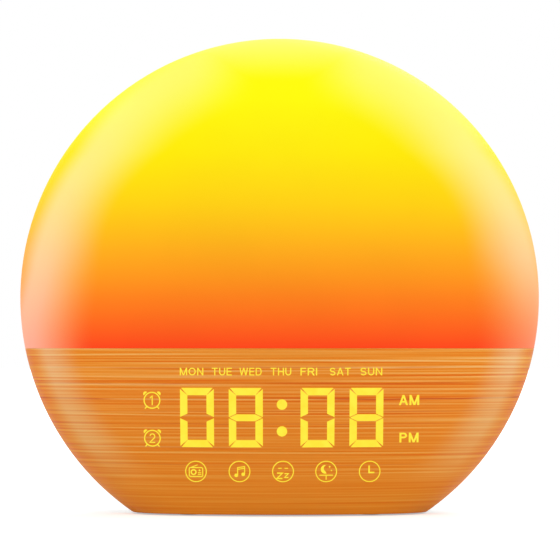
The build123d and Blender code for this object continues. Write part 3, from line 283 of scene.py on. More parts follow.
# ------------------------------------------------------------------------------------ wood fascia
# Lower front shell with the clock's floor: one moulding under a satin film printed with level
# wood grain, thin enough over the display for the lit marks to shine through.
disc_centre_height = 0.0830
fine_streaks = (9, 0, 1500)
fine_contrast = 0.50
broad_streaks = (5, 0, 560)
broad_contrast = 0.22
vein_waver = 0.0004
sheen_centre_x = 0.0006
sheen_radius = 0.0912
sheen_inside = 0.0125
sheen_outside = 0.0075
sheen_strength = 0.52

wood_film, tree, shader, where = new_finish("wood_film")
height = sideways_and_up(tree, where)[1]
# one streak less the one a streak higher keeps the print fine and even, with no broad patches
fine = sums(tree, "SUBTRACT", grained(tree, where, fine_streaks, 1.0),
            grained(tree, where, fine_streaks, 1.0, shift=(0, 0, 1)))
broad = sums(tree, "SUBTRACT", grained(tree, where, broad_streaks, 0.0), 0.5)
mixed = sums(tree, "ADD", sums(tree, "MULTIPLY", fine, fine_contrast),
             sums(tree, "MULTIPLY", broad, broad_contrast))
# the printed contrast falls off towards the floor
contrast = between(tree, height, 0.004, 0.050, 0.5, 1.0)
streaks = sums(tree, "ADD", 0.5, sums(tree, "MULTIPLY", mixed, contrast))
veined = ramp(tree, streaks, [
    (0.34, shade(236, 112, 0)),
    (0.43, shade(241, 137, 20)),
    (0.50, shade(245, 152, 46)),
    (0.57, shade(248, 168, 72)),
    (0.66, shade(252, 194, 114)),
])
# a few veins run darker than the rest, the strongest across the upper half of the display
waver = between(tree, grained(tree, where, (16, 0, 30), 2.0), 0.3, 0.7, -vein_waver, vein_waver,
                "LINEAR")
wavy_height = sums(tree, "ADD", height, waver)
fading = between(tree, grained(tree, where, (22, 0, 60), 2.0), 0.38, 0.60, 0.25, 1.0)
for vein_height, vein_width, vein_depth in (
    (0.0446, 0.00055, 0.95), (0.0399, 0.0004, 0.5), (0.0503, 0.0006, 0.6),
    (0.0352, 0.0004, 0.5), (0.0263, 0.0005, 0.45), (0.0197, 0.0004, 0.4), (0.0562, 0.0005, 0.5),
):
    away = sums(tree, "ABSOLUTE", sums(tree, "SUBTRACT", wavy_height, vein_height))
    vein = between(tree, away, vein_width, 0.0, 0.0, vein_depth)
    veined = blend_colours(tree, sums(tree, "MULTIPLY", vein, fading), veined, shade(214, 82, 0))
# a painted highlight follows the rolled shoulder here too, weaker towards the floor and on
# dark streaks
reach = reach_from(tree, where, sheen_centre_x, disc_centre_height)
painted_sheen = sums(tree, "MULTIPLY", between(tree, reach, sheen_radius - sheen_inside, sheen_radius),
             between(tree, reach, sheen_radius + sheen_outside, sheen_radius))
painted_sheen = sums(tree, "MULTIPLY", painted_sheen, between(tree, height, 0.008, 0.034, 0.0, sheen_strength))
painted_sheen = sums(tree, "MULTIPLY", painted_sheen, between(tree, streaks, 0.36, 0.62, 0.65, 1.15))
film_with_sheen = blend_colours(tree, painted_sheen, veined, shade(247, 211, 162))
# the colour runs darker and more saturated towards the floor
low_tone = ramp(tree, between(tree, height, 0.0, joint_height, curve="LINEAR"), [
    (0.0, (0.93, 0.91, 0.47, 1.0)),
    (0.25, (0.97, 0.925, 0.66, 1.0)),
    (0.76, (0.985, 0.87, 0.70, 1.0)),
    (0.88, grey(1.0)),
])
toned = blend_colours(tree, 1.0, film_with_sheen, low_tone, "MULTIPLY")
# and darker and more saturated again round the edge
edge_tone = ramp(tree, between(tree, reach, 0.040, 0.100, curve="LINEAR"), [
    (0.0, grey(1.0)),
    (0.58, (0.985, 1.0, 0.985, 1.0)),
    (0.87, (0.975, 0.985, 0.94, 1.0)),
    (0.97, (0.95, 0.84, 0.42, 1.0)),
])
toned = blend_colours(tree, between(tree, height, 0.004, 0.034, 0.3, 1.0), toned, edge_tone,
                      "MULTIPLY")
skin(tree, shader, toned, between(tree, streaks, 0.38, 0.62, 0.40, 0.50))
shader.inputs["Specular IOR Level"].default_value = 0.22
raised(tree, shader, streaks, 0.08, 0.0001)
dress(wood_film, "wood_fascia")

# ------------------------------------------------------------------------------------ lit marks
# What the display shows through the wood: digits, weekdays, alarms, half of the day and the row
# of functions. Each is a thin patch of light on the film, over its own well in the display mask.
disc_radius = 0.100
front_rise = 0.0469
shoulder_radius = 0.0256
shoulder_ring = disc_radius - shoulder_radius
# the crown is part of a ball that runs smoothly into the rolled shoulder, which gives its radius
crown_radius = ((shoulder_ring**2 + front_rise**2 - shoulder_radius**2)
                / (2 * (front_rise - shoulder_radius)))
crown_centre_y = rim_y + crown_radius - front_rise
mark_proud = 0.00004
mark_strength = 0.9

lit_mark, tree, shader, where = new_finish("lit_mark")
flicker = between(tree, grained(tree, where, (260, 260, 260)), 0.3, 0.7, 0.0, 1.0)
lit = blend_colours(tree, flicker, shade(254, 228, 42), shade(255, 236, 56))
shine(tree, shader, lit, mark_strength)
skin(tree, shader, blend_colours(tree, 1.0, lit, grey(0.12), "MULTIPLY"),
     between(tree, flicker, 0.0, 1.0, 0.38, 0.44))


def on_the_front(x, z):
    """The point of the domed front at x and z, a hair proud of the film."""
    out = hypot(x, z - disc_centre_height)
    return Vector((x, crown_centre_y - sqrt((crown_radius + mark_proud) ** 2 - out**2), z))


def ribbon(points, width, closed=False):
    """Patches of an even strip along a line of (x, z) points, mitred at its corners."""
    count = len(points)
    edges = []
    for number, point in enumerate(points):
        here = Vector(point)
        before = Vector(points[number - 1]) if number or closed else None
        after = Vector(points[(number + 1) % count]) if number < count - 1 or closed else None
        ways = [way.normalized() for way in (
            here - before if before is not None else None,
            after - here if after is not None else None,
        ) if way is not None]
        sides = [Vector((-way.y, way.x)) for way in ways]
        mitre = sum(sides, Vector((0.0, 0.0))).normalized()
        reach = min(1.0 / max(mitre.dot(sides[0]), 0.3), 2.0) * width / 2
        edges.append((here + mitre * reach, here - mitre * reach))
    patches = []
    for number in range(count if closed else count - 1):
        (a, b), (c, d) = edges[number], edges[(number + 1) % count]
        patches.append((a, c, d, b))
    return patches


def arc(centre, radius, start=0.0, turn=360.0, steps=40):
    """Points on an arc, angles in degrees from +x towards +z."""
    closed = abs(turn) >= 360
    count = steps if closed else steps + 1
    return [
        (centre[0] + radius * cos(radians(start + turn * step / steps)),
         centre[1] + radius * sin(radians(start + turn * step / steps)))
        for step in range(count)
    ]


def bar(x0, z0, x1, z1):
    """One upright or level rectangle."""
    return [(x0, z0), (x1, z0), (x1, z1), (x0, z1)]


def leg(foot, head, thick):
    """A slanted stroke from the baseline to the top of a letter one unit tall, cut off level."""
    return [(foot, 0.0), (foot + thick, 0.0), (head + thick, 1.0), (head, 1.0)]


def oval(wide, thick, start=0.0, turn=360.0, steps=24, tall=1.0, foot=0.0):
    """The middle line of a round stroke inside a box, from start through turn degrees."""
    half_w, half_h = (wide - thick) / 2, (tall - thick) / 2
    return [(wide / 2 + x * half_w, foot + tall / 2 + z * half_h)
            for x, z in arc((0.0, 0.0), 1.0, start, turn, steps)]


def capital(letter, thick):
    """Patches and width of one plain sans capital, one unit tall, drawn with even strokes."""
    wide = {"A": 0.82, "D": 0.76, "E": 0.64, "F": 0.60, "H": 0.72, "I": thick, "M": 0.88, "N": 0.74,
            "O": 0.86, "P": 0.68, "R": 0.72, "S": 0.68, "T": 0.72, "U": 0.72, "W": 1.08}[letter]
    half, far, middle = thick / 2, wide - thick, wide / 2
    stem, far_stem = bar(0.0, 0.0, thick, 1.0), bar(far, 0.0, wide, 1.0)
    waist = bar(0.0, 0.5 - half, wide, 0.5 + half)
    top, foot = bar(0.0, 1.0 - thick, wide, 1.0), bar(0.0, 0.0, wide, thick)
    bowl_wide, bowl_foot = 0.58, 0.42
    bowl = [(x + wide - bowl_wide, z)
            for x, z in oval(bowl_wide, thick, 90, -180, 10, 1 - bowl_foot, bowl_foot)]
    bowl = [(half, 1.0 - half), *bowl, (half, bowl_foot + half)]
    if letter == "A":
        patches = [leg(0.0, middle - half, thick), leg(far, middle - half, thick),
                   bar(0.16, 0.25, wide - 0.16, 0.25 + 0.85 * thick)]
    elif letter == "D":
        belly = 0.70
        side = [(x + wide - belly, z) for x, z in oval(belly, thick, 90, -180, 14)]
        patches = [stem, *ribbon([(half, 1.0 - half), *side, (half, half)], thick)]
    elif letter in "EF":
        patches = [stem, top, bar(0.0, 0.5 - half, 0.9 * wide, 0.5 + half)]
        patches += [foot] if letter == "E" else []
    elif letter == "H":
        patches = [stem, far_stem, waist]
    elif letter == "M":
        patches = [stem, far_stem, leg(middle - half, 0.0, thick), leg(middle - half, far, thick)]
    elif letter == "N":
        patches = [stem, far_stem, leg(far, 0.0, thick)]
    elif letter == "O":
        patches = ribbon(oval(wide, thick), thick, closed=True)
    elif letter in "PR":
        patches = [stem, *ribbon(bowl, thick)]
        if letter == "R":
            patches.append([(far, 0.0), (wide + half, 0.0), (middle + thick, 0.5), (middle, 0.5)])
    elif letter == "S":
        round_tall = (1.0 + thick) / 2
        upper = oval(wide, thick, 20, 250, 12, round_tall, 1.0 - round_tall)
        lower = oval(wide, thick, 90, -250, 12, round_tall)
        patches = ribbon(upper + lower[1:], thick)
    elif letter == "T":
        patches = [top, bar(middle - half, 0.0, middle + half, 1.0)]
    elif letter == "U":
        turn_round = oval(wide, thick, 180, 180, 12, 0.8)
        patches = ribbon([(half, 1.0), *turn_round, (far + half, 1.0)], thick)
    elif letter == "W":
        patches = [leg(wide / 4 - half, 0.0, thick), leg(wide / 4 - half, middle - half, thick),
                   leg(3 * wide / 4 - half, middle - half, thick),
                   leg(3 * wide / 4 - half, far, thick)]
    else:
        patches = [stem]
    return patches, wide


def word(text, middle, height, width, thick=0.135, gap=0.17):
    """Patches of a word in plain capitals, fitted to a height and a width about its middle."""
    patches, pen = [], 0.0
    for letter in text:
        shapes, wide = capital(letter, thick)
        patches += [[(x + pen, z) for x, z in shape] for shape in shapes]
        pen += wide + gap
    across = width / (pen - gap)
    return [[(middle[0] + x * across - width / 2, middle[1] + (z - 0.5) * height) for x, z in patch]
            for patch in patches]


def moved(patches, middle, scale=1.0):
    """The same patches about another middle point."""
    return [[(middle[0] + x * scale, middle[1] + z * scale) for x, z in patch] for patch in patches]


def lay(name, patches, to_surface, material, body, longest=0.0025):
    """Lays flat patches on a surface as one piece that rides on a body."""
    sheet = bmesh.new()
    for patch in patches:
        sheet.faces.new([sheet.verts.new((x, 0.0, z)) for x, z in patch])
    bmesh.ops.remove_doubles(sheet, verts=sheet.verts, dist=0.000002)
    bmesh.ops.triangulate(sheet, faces=sheet.faces)
    while True:
        long_edges = [edge for edge in sheet.edges if edge.calc_length() > longest]
        if not long_edges:
            break
        bmesh.ops.subdivide_edges(sheet, edges=long_edges, cuts=1)
        bmesh.ops.triangulate(sheet, faces=sheet.faces)
    for corner in sheet.verts:
        corner.co = to_surface(corner.co.x, corner.co.z)
    bmesh.ops.recalc_face_normals(sheet, faces=sheet.faces)
    mesh = bpy.data.meshes.new(name)
    sheet.to_mesh(mesh)
    sheet.free()
    outward = to_surface(0.001, 0.0).y
    if sum(face.normal.y * face.area for face in mesh.polygons) * outward < 0:
        mesh.flip_normals()
    piece = bpy.data.objects.new(name, mesh)
    scene.collection.objects.link(piece)
    mesh.materials.append(material)
    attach(piece, body)
    return piece


digit_wide = 0.01268
digit_tall = 0.0223
stroke = 0.00277
slit = 0.00022


def digit_patches(lit_bars):
    """Bars of one digit: top, middle, bottom and the four uprights, mitred with thin slits."""
    half_w, half_h = digit_wide / 2, digit_tall / 2
    inner = half_w - stroke
    patches = []
    for sign, name in ((1, "top"), (-1, "bottom")):
        if name in lit_bars:
            patches.append([
                (-half_w + 2 * slit, sign * half_h), (half_w - 2 * slit, sign * half_h),
                (inner, sign * (half_h - stroke)), (-inner, sign * (half_h - stroke)),
            ])
        for side, hand in ((-1, "left"), (1, "right")):
            if f"{name}_{hand}" in lit_bars:
                patches.append([
                    (side * half_w, sign * (half_h - 2 * slit)),
                    (side * half_w, sign * slit),
                    (side * inner, sign * (stroke / 2 + slit / 2)),
                    (side * inner, sign * (half_h - stroke)),
                ])
    if "middle" in lit_bars:
        tip, shoulder_x = half_w - slit, inner - slit / 2
        patches.append([
            (-tip, 0.0), (-shoulder_x, stroke / 2 - slit / 2), (shoulder_x, stroke / 2 - slit / 2),
            (tip, 0.0), (shoulder_x, slit / 2 - stroke / 2), (-shoulder_x, slit / 2 - stroke / 2),
        ])
    return patches


zero = ("top", "bottom", "top_left", "top_right", "bottom_left", "bottom_right")
eight = (*zero, "middle")
display_middle = 0.03758
for place_name, x, bars in (
    ("hour_tens", -0.03082, zero), ("hour_units", -0.01259, eight),
    ("minute_tens", 0.01412, zero), ("minute_units", 0.03241, eight),
):
    lay(f"{place_name}_digit", moved(digit_patches(bars), (x, display_middle)), on_the_front,
        lit_mark, "clock")

colon_x = 0.00088
colon_dot_radius = 0.00195
colon = [arc((colon_x, height), colon_dot_radius, steps=28) for height in (0.03248, 0.04251)]
lay("colon_dots", colon, on_the_front, lit_mark, "clock")

weekday_middle = 0.05479
weekday_tall = 0.00285
weekdays = []
for text, x, width in (
    ("MON", -0.03276, 0.00883), ("TUE", -0.02146, 0.00748), ("WED", -0.01077, 0.00824),
    ("THU", 0.00049, 0.00768), ("FRI", 0.01085, 0.00620), ("SAT", 0.02257, 0.00779),
    ("SUN", 0.03416, 0.00817),
):
    weekdays += word(text, (x, weekday_middle), weekday_tall, width)
lay("weekday_marks", weekdays, on_the_front, lit_mark, "clock")

half_day = word("AM", (0.04844, 0.04410), height=0.00382, width=0.0077, thick=0.18, gap=0.13)
half_day += word("PM", (0.04858, 0.02996), height=0.00372, width=0.0073, thick=0.18, gap=0.15)
lay("half_day_marks", half_day, on_the_front, lit_mark, "clock")


def alarm_patches(numeral):
    """A bell alarm clock with its number inside, one unit being the ring's outer radius."""
    patches = ribbon(arc((0, 0), 0.93), 0.14, closed=True)
    for side in (-1, 1):
        tilt = 90 - side * 45
        cap = (side * 0.77, 0.77)
        patches.append(arc(cap, 0.27, tilt - 90, 180, 12))
        patches += ribbon([(side * 0.62, -0.74), (side * 0.84, -0.98)], 0.13)
    if numeral == 1:
        patches += ribbon([(-0.24, 0.26), (0.03, 0.50), (0.03, -0.55)], 0.13)
    else:
        patches += ribbon([*arc((0.0, 0.22), 0.29, 165, -205, 12), (-0.30, -0.49), (0.33, -0.49)],
                          0.13)
    return patches


alarm_mark_x = -0.04775
alarm_mark_radius = 0.00320
for name, numeral, z in (("first_alarm_mark", 1, 0.04399), ("second_alarm_mark", 2, 0.02970)):
    lay(name, moved(alarm_patches(numeral), (alarm_mark_x, z), alarm_mark_radius), on_the_front,
        lit_mark, "clock")


def radio_patches():
    """A small radio with its aerial, one unit being the ring's outer radius."""
    case = arc((0.50, 0.24), 0.12, 0, 90, 4) + arc((-0.50, 0.24), 0.12, 90, 90, 4)
    case += arc((-0.50, -0.36), 0.12, 180, 90, 4) + arc((0.50, -0.36), 0.12, 270, 90, 4)
    patches = ribbon(case, 0.09, closed=True)
    patches += ribbon([(-0.50, 0.36), (0.16, 0.62)], 0.08)
    patches += ribbon(arc((-0.22, -0.06), 0.22, steps=20), 0.12, closed=True)
    patches.append(arc((0.33, 0.10), 0.09, steps=12))
    patches += ribbon([(0.18, -0.12), (0.50, -0.12)], 0.08)
    patches += ribbon([(0.18, -0.27), (0.50, -0.27)], 0.08)
    return patches


def notes_patches():
    """Two joined quavers, for sound played from a phone."""
    patches = [arc((-0.30, -0.36), 0.17, steps=16), arc((0.34, -0.26), 0.17, steps=16)]
    patches += ribbon([(-0.17, -0.36), (-0.17, 0.36), (0.47, 0.46), (0.47, -0.26)], 0.09)
    patches += ribbon([(-0.17, 0.20), (0.47, 0.30)], 0.09)
    return patches


def z_patches(size, thick):
    """One z, as tall and as wide as twice its size."""
    return ribbon([(-size, size), (size, size), (-size, -size), (size, -size)], thick)


def drowsy_patches():
    """Two closed eyes over a large and a small z, for the sleep timer."""
    patches = ribbon([(-0.44, 0.30), (-0.12, 0.30)], 0.09)
    patches += ribbon([(0.14, 0.30), (0.46, 0.30)], 0.09)
    patches += moved(z_patches(0.25, 0.14), (-0.30, -0.40))
    patches += moved(z_patches(0.18, 0.11), (0.32, -0.38))
    return patches


def moon_patches():
    """Crescent with two stars over a bedside post, for the night light."""
    outer = arc((-0.10, 0.20), 0.40, 70, 220, 20)
    inner = arc((0.09, 0.29), 0.31, 238, -136, 16)
    patches = [outer + inner]
    for x, z, size in ((0.32, 0.44, 0.13), (0.48, 0.10, 0.10)):
        star = []
        for point in range(8):
            out = size if point % 2 == 0 else size * 0.4
            star.append((x + out * sin(point * pi / 4), z + out * cos(point * pi / 4)))
        patches.append(star)
    patches += ribbon([(-0.62, -0.34), (0.62, -0.34)], 0.09)
    patches += ribbon([(0.0, -0.34), (0.0, -0.76)], 0.09)
    return patches


def hands_patches():
    """Clock hands at three o'clock."""
    return ribbon([(-0.06, 0.56), (-0.06, -0.10), (0.44, -0.10)], 0.14)


function_mark_radius = 0.00408
function_ring = ribbon(arc((0, 0), 0.955, steps=48), 0.09, closed=True)
for name, patches, x, z in (
    ("radio_mark", radio_patches(), -0.03140, 0.01722),
    ("notes_mark", notes_patches(), -0.01503, 0.01729),
    ("drowsy_mark", drowsy_patches(), 0.00127, 0.01732),
    ("moon_mark", moon_patches(), 0.01745, 0.01728),
    ("hands_mark", hands_patches(), 0.03384, 0.01720),
):
    lay(name, moved(patches + function_ring, (x, z), function_mark_radius), on_the_front, lit_mark,
        "clock")

# ------------------------------------------------------------------------------------ rear housing
# Moulded back shell of white plastic, with the fine even grain of a spark-eroded mould. Its grille,
# key openings, screw holes and cell well are all formed in the one piece. Other mouldings have the
# same grain.
def new_effect(name, inlets, outlets):
    """A shared effect: gives its group, its inlets and outlets, and the piece's coordinates."""
    group = bpy.data.node_groups.new(name, "ShaderNodeTree")
    for direction, sockets in (("INPUT", inlets), ("OUTPUT", outlets)):
        for label, kind in sockets.items():
            group.interface.new_socket(label, in_out=direction, socket_type="NodeSocket" + kind)
    way_in = group.nodes.new("NodeGroupInput")
    way_out = group.nodes.new("NodeGroupOutput")
    where = place(group, "TexCoord").outputs["Object"]
    return group, way_in.outputs, way_out.inputs, where


def uneven(tree, value, noise, spread):
    """A value made higher and lower by a noise about its middle. Gives the result."""
    swing = sums(tree, "MULTIPLY", sums(tree, "SUBTRACT", noise, 0.5), spread)
    return sums(tree, "ADD", value, swing)


moulding, way_in, way_out, where = new_effect(
    "moulding_grain",
    {"Colour": "Color", "Unevenness": "Float", "Gloss Loss": "Float", "Grains per Metre": "Float"},
    {"Colour": "Color", "Roughness": "Float", "Height": "Float"},
)
sparks = place(moulding, "TexNoise", Detail=4.0, Roughness=0.6)
moulding.links.new(where, sparks.inputs["Vector"])
moulding.links.new(way_in["Grains per Metre"], sparks.inputs["Scale"])
flow = between(moulding, grained(moulding, where, (28, 28, 28), 3.0), 0.3, 0.7, -1.0, 1.0)
darker = sums(moulding, "ADD", sums(moulding, "MULTIPLY", flow, way_in["Unevenness"]), 1.0)
moulding.links.new(dimmed(moulding, way_in["Colour"], darker), way_out["Colour"])
moulding.links.new(uneven(moulding, way_in["Gloss Loss"], sparks.outputs[0], 0.22),
                   way_out["Roughness"])
moulding.links.new(sparks.outputs[0], way_out["Height"])


def moulded(name, colour, dullness, grains=2600.0, unevenness=0.025, depth=0.25):
    """A moulded plastic or rubber finish with its mould's grain."""
    material, tree, shader, where = new_finish(name)
    face = place(tree, "Group", node_tree=moulding, Colour=colour, Unevenness=unevenness,
                 Gloss_Loss=dullness, Grains_per_Metre=grains).outputs
    skin(tree, shader, face["Colour"], face["Roughness"])
    raised(tree, shader, face["Height"], depth, 0.0001)
    return material


dress(moulded("white_housing", shade(238, 236, 231), 0.52), "rear_housing")

# ------------------------------------------------------------------------------------ keys
# Nine satin grey keys in a ring round the grille, each with a printed sign, over black switch
# plungers. The signs are a hair proud of the key tops and ride with them.
key_grey = moulded("key_grey", shade(176, 177, 179), 0.42, grains=2200.0)
key_print = moulded("key_print", shade(38, 39, 42), 0.5, grains=1800.0)
plunger_black = moulded("plunger_black", shade(38, 38, 40), 0.45, grains=2000.0)
key_ring = 0.066
key_top = 0.04315
print_proud = 0.00002
sign_size = 0.0031


def on_the_keys(x, z):
    """The point on a key top, for signs drawn as seen from behind."""
    return Vector((-x, key_top + print_proud, z))


def plus_patches(arms):
    """A bar, with an upright across it where arms is 2."""
    patches = [bar(-0.6, -0.09, 0.6, 0.09)]
    if arms == 2:
        patches += [bar(-0.09, 0.09, 0.09, 0.6), bar(-0.09, -0.6, 0.09, -0.09)]
    return patches


def loudspeaker_patches():
    """A loudspeaker and two waves, for the sounds."""
    patches = [bar(-0.75, -0.2, -0.45, 0.2)]
    patches.append([(-0.45, -0.2), (-0.05, -0.55), (-0.05, 0.55), (-0.45, 0.2)])
    for radius in (0.35, 0.65):
        patches += ribbon(arc((0.0, 0.0), radius, -42, 84, 10), 0.11)
    return patches


def bulb_patches():
    """A lamp bulb, for the light."""
    patches = ribbon(arc((0.0, 0.15), 0.5, -55, 290, 26), 0.12)
    patches += ribbon([(-0.24, -0.30), (-0.24, -0.62), (0.24, -0.62), (0.24, -0.30)], 0.12)
    patches += ribbon([(-0.24, -0.45), (0.24, -0.45)], 0.09)
    return patches


def dial_patches():
    """A clock face, for setting the time."""
    return ribbon(arc((0, 0), 0.72), 0.12, closed=True) + moved(hands_patches(), (0.04, 0.0), 0.85)


def snooze_patches():
    """Three z of falling size, for the snooze bar."""
    patches = []
    for x, size in ((-1.1, 0.55), (0.1, 0.42), (1.05, 0.30)):
        patches += moved(z_patches(size, 0.15), (x, 0.0))
    return patches


for key, angle, patches in (
    ("snooze", 90, snooze_patches()), ("sound", -8, loudspeaker_patches()),
    ("minus", 12, plus_patches(1)), ("plus", 32, plus_patches(2)), ("lamp", 52, bulb_patches()),
    ("sleep_timer", 188, moved(drowsy_patches(), (0.0, 0.25), 1.7)),
    ("clock_set", 168, dial_patches()), ("alarm_two", 148, alarm_patches(2)),
    ("alarm_one", 128, alarm_patches(1)),
):
    dress(key_grey, f"{key}_key")
    dress(plunger_black, f"{key}_plunger")
    middle = (-key_ring * cos(radians(angle)), disc_centre_height + key_ring * sin(radians(angle)))
    lay(f"{key}_sign", moved(patches, middle, sign_size), on_the_keys, key_print, f"{key}_button",
        longest=0.02)

# ------------------------------------------------------------------------------------ coin cell
# Stainless coin cell in a black holder, under a white twist-lock cap that a coin turns. The cell's
# can is deep-drawn, with fine marks along its wall.
plated, way_in, way_out, where = new_effect(
    "plated_metal",
    {"Colour": "Color", "Polish Loss": "Float", "Streaks per Metre": "Vector"},
    {"Colour": "Color", "Roughness": "Float", "Height": "Float"},
)
stretched = place(plated, "VectorMath", operation="MULTIPLY")
plated.links.new(where, stretched.inputs[0])
plated.links.new(way_in["Streaks per Metre"], stretched.inputs[1])
drawn = place(plated, "TexNoise", Scale=1.0, Detail=5.0, Roughness=0.6)
plated.links.new(stretched.outputs[0], drawn.inputs["Vector"])
cloud = between(plated, grained(plated, where, (90, 90, 90), 3.0), 0.3, 0.7, 0.92, 1.04)
plated.links.new(dimmed(plated, way_in["Colour"], cloud), way_out["Colour"])
plated.links.new(uneven(plated, way_in["Polish Loss"], drawn.outputs[0], 0.3), way_out["Roughness"])
plated.links.new(drawn.outputs[0], way_out["Height"])


def metal(name, colour, dullness, streaks):
    """A bare or plated metal finish with its drawing or brushing marks."""
    material, tree, shader, where = new_finish(name)
    face = place(tree, "Group", node_tree=plated, Colour=colour, Polish_Loss=dullness,
                 Streaks_per_Metre=streaks).outputs
    shader.inputs["Metallic"].default_value = 1.0
    skin(tree, shader, face["Colour"], face["Roughness"])
    raised(tree, shader, face["Height"], 0.15, 0.00005)
    return material


dress(moulded("white_cap", shade(232, 230, 225), 0.48), "coin_cell_cap")
dress(metal("stainless_can", shade(214, 214, 216), 0.28, (4000, 200, 4000)), "coin_cell")
dress(moulded("black_holder", shade(34, 34, 36), 0.5), "coin_cell_holder")

# ------------------------------------------------------------------------------------ sockets
# Nickel-plated sheet shells round black contact blocks, set just inside the back face, and an
# empty rubber gland for an aerial wire.
nickel = metal("nickel_sheet", shade(206, 206, 208), 0.30, (300, 2600, 300))
dress(nickel, "power_inlet_shell", "charging_port_shell")
socket_black = moulded("socket_black", shade(26, 26, 28), 0.4)
dress(socket_black, "power_inlet_core", "charging_port_core")
dress(moulded("gland_rubber", shade(36, 36, 37), 0.62, grains=1800.0), "wire_gland")

# ------------------------------------------------------------------------------------ fasteners
# Zinc-plated cross-recess screws: long ones down the deep holes that join the housings, short
# ones on the boards, the lamp and the speaker.
zinc = metal("zinc_plate", shade(176, 178, 184), 0.34, (1500, 1500, 1500))
dress(zinc, "housing_screws", "board_screws", "lamp_board_screws", "display_board_screws",
      "speaker_screws")

# ------------------------------------------------------------------------------------ boards
# Glass-epoxy boards: green solder mask over copper tracks on the main, key and display boards,
# white mask on the lamp board, with switches, chips and capacitors soldered to them.
solder_mask, way_in, way_out, where = new_effect(
    "solder_mask",
    {"Bare Colour": "Color", "Track Colour": "Color", "Tracks per Metre": "Float"},
    {"Colour": "Color", "Height": "Float"},
)
upright = place(solder_mask, "Mapping", Rotation=(pi / 2, 0.0, 0.0))
solder_mask.links.new(where, upright.inputs[0])
tracks = place(solder_mask, "TexBrick", Color1=grey(0), Color2=grey(0), Mortar=grey(1),
               Mortar_Size=0.09, Brick_Width=1.3, Row_Height=0.4)
solder_mask.links.new(upright.outputs[0], tracks.inputs["Vector"])
solder_mask.links.new(way_in["Tracks per Metre"], tracks.inputs["Scale"])
copper = blend_colours(solder_mask, tracks.outputs["Fac"], way_in["Bare Colour"],
                       way_in["Track Colour"])
solder_mask.links.new(copper, way_out["Colour"])
solder_mask.links.new(tracks.outputs["Fac"], way_out["Height"])


def board(name, bare, over_copper, tracks_per_metre):
    """Solder mask over a board's copper."""
    material, tree, shader, where = new_finish(name)
    face = place(tree, "Group", node_tree=solder_mask, Bare_Colour=bare, Track_Colour=over_copper,
                 Tracks_per_Metre=tracks_per_metre).outputs
    skin(tree, shader, face["Colour"],
         between(tree, grained(tree, where, (500, 500, 500)), 0.3, 0.7, 0.24, 0.34))
    raised(tree, shader, face["Height"], 0.3, 0.0001)
    return material


green_mask = board("green_mask", shade(18, 92, 52), shade(38, 124, 70), 120.0)
dress(green_mask, "main_board", "key_board", "display_board")
dress(board("white_mask", shade(240, 240, 236), shade(226, 226, 218), 90.0), "lamp_board")
dress(moulded("chip_epoxy", shade(32, 32, 34), 0.55, grains=5200.0), "board_chips")
dress(metal("capacitor_can", shade(196, 198, 202), 0.3, (300, 3000, 300)), "board_capacitors")
dress(moulded("switch_case", shade(44, 44, 46), 0.4), "tact_switches")

# ------------------------------------------------------------------------------------ flat cables
# Grey vinyl ribbon cables from the display, lamp and key boards to the main board, their cores
# showing as fine ribs. Each end is pushed into a white nylon connector.
dress(moulded("connector_nylon", shade(232, 229, 218), 0.42, grains=2400.0), "board_connectors")
ribbed_vinyl, tree, shader, where = new_finish("ribbed_vinyl")
ribs = place(tree, "TexWave", Scale=125.0, Distortion=0.0)
tree.links.new(where, ribs.inputs["Vector"])
cores = between(tree, ribs.outputs["Fac"], 0.15, 0.6)
skin(tree, shader, blend_colours(tree, cores, shade(140, 142, 146), shade(190, 192, 196)),
     between(tree, cores, 0.0, 1.0, 0.6, 0.45))
raised(tree, shader, cores, 0.5, 0.0002)
dress(ribbed_vinyl, "flat_cables")

# ------------------------------------------------------------------------------------ lights inside
# Phosphor-topped LEDs of the lamp and the display, the white reflector tray round the lamp, the
# black partition that keeps the lamp's light out of the display, and its mask and smoked film.
for name, colour, strength, node in (
    ("lamp_phosphor", shade(255, 206, 92), 1.6, "lamp_leds"),
    ("display_phosphor", shade(255, 232, 60), 1.2, "display_leds"),
):
    material, tree, shader, where = new_finish(name)
    speckle = between(tree, grained(tree, where, (1500, 1500, 1500)), 0.3, 0.7)
    phosphor = blend_colours(tree, speckle, colour, shade(255, 244, 190))
    skin(tree, shader, phosphor, between(tree, speckle, 0.0, 1.0, 0.25, 0.4))
    shine(tree, shader, phosphor, strength)
    dress(material, node)
dress(moulded("white_reflector", shade(244, 243, 240), 0.3), "reflector_tray")
dress(moulded("black_partition", shade(30, 30, 31), 0.55), "seam_baffle", "display_mask")
dress(moulded("smoked_film", shade(72, 62, 55), 0.35, grains=3200.0), "display_film")

# ------------------------------------------------------------------------------------ speaker
# Full-range driver behind the grille: black-painted steel basket, treated paper cone on a foam
# roll, ferrite ring magnet and plated yoke, with a woven dust cloth pressed against the grille.
dress(moulded("basket_paint", shade(30, 30, 32), 0.42, grains=1500.0), "speaker_basket")
dress(metal("yoke_plate", shade(150, 152, 158), 0.36, (1200, 1200, 1200)), "speaker_yoke")
dress(moulded("ferrite", shade(58, 57, 60), 0.7, grains=3800.0, unevenness=0.08, depth=0.5),
      "speaker_magnet")
dress(moulded("foam_roll", shade(34, 33, 33), 0.85, grains=3000.0, unevenness=0.05, depth=0.6),
      "speaker_surround", "speaker_gasket")

cone_paper, tree, shader, where = new_finish("cone_paper")
fibres = grained(tree, where, (700, 2400, 1400), 6.0, 0.7)
skin(tree, shader, ramp(tree, fibres, [(0.3, shade(26, 25, 25)), (0.7, shade(58, 55, 52))]),
     between(tree, fibres, 0.3, 0.7, 0.7, 0.9))
raised(tree, shader, fibres, 0.5, 0.0001)
dress(cone_paper, "speaker_cone")

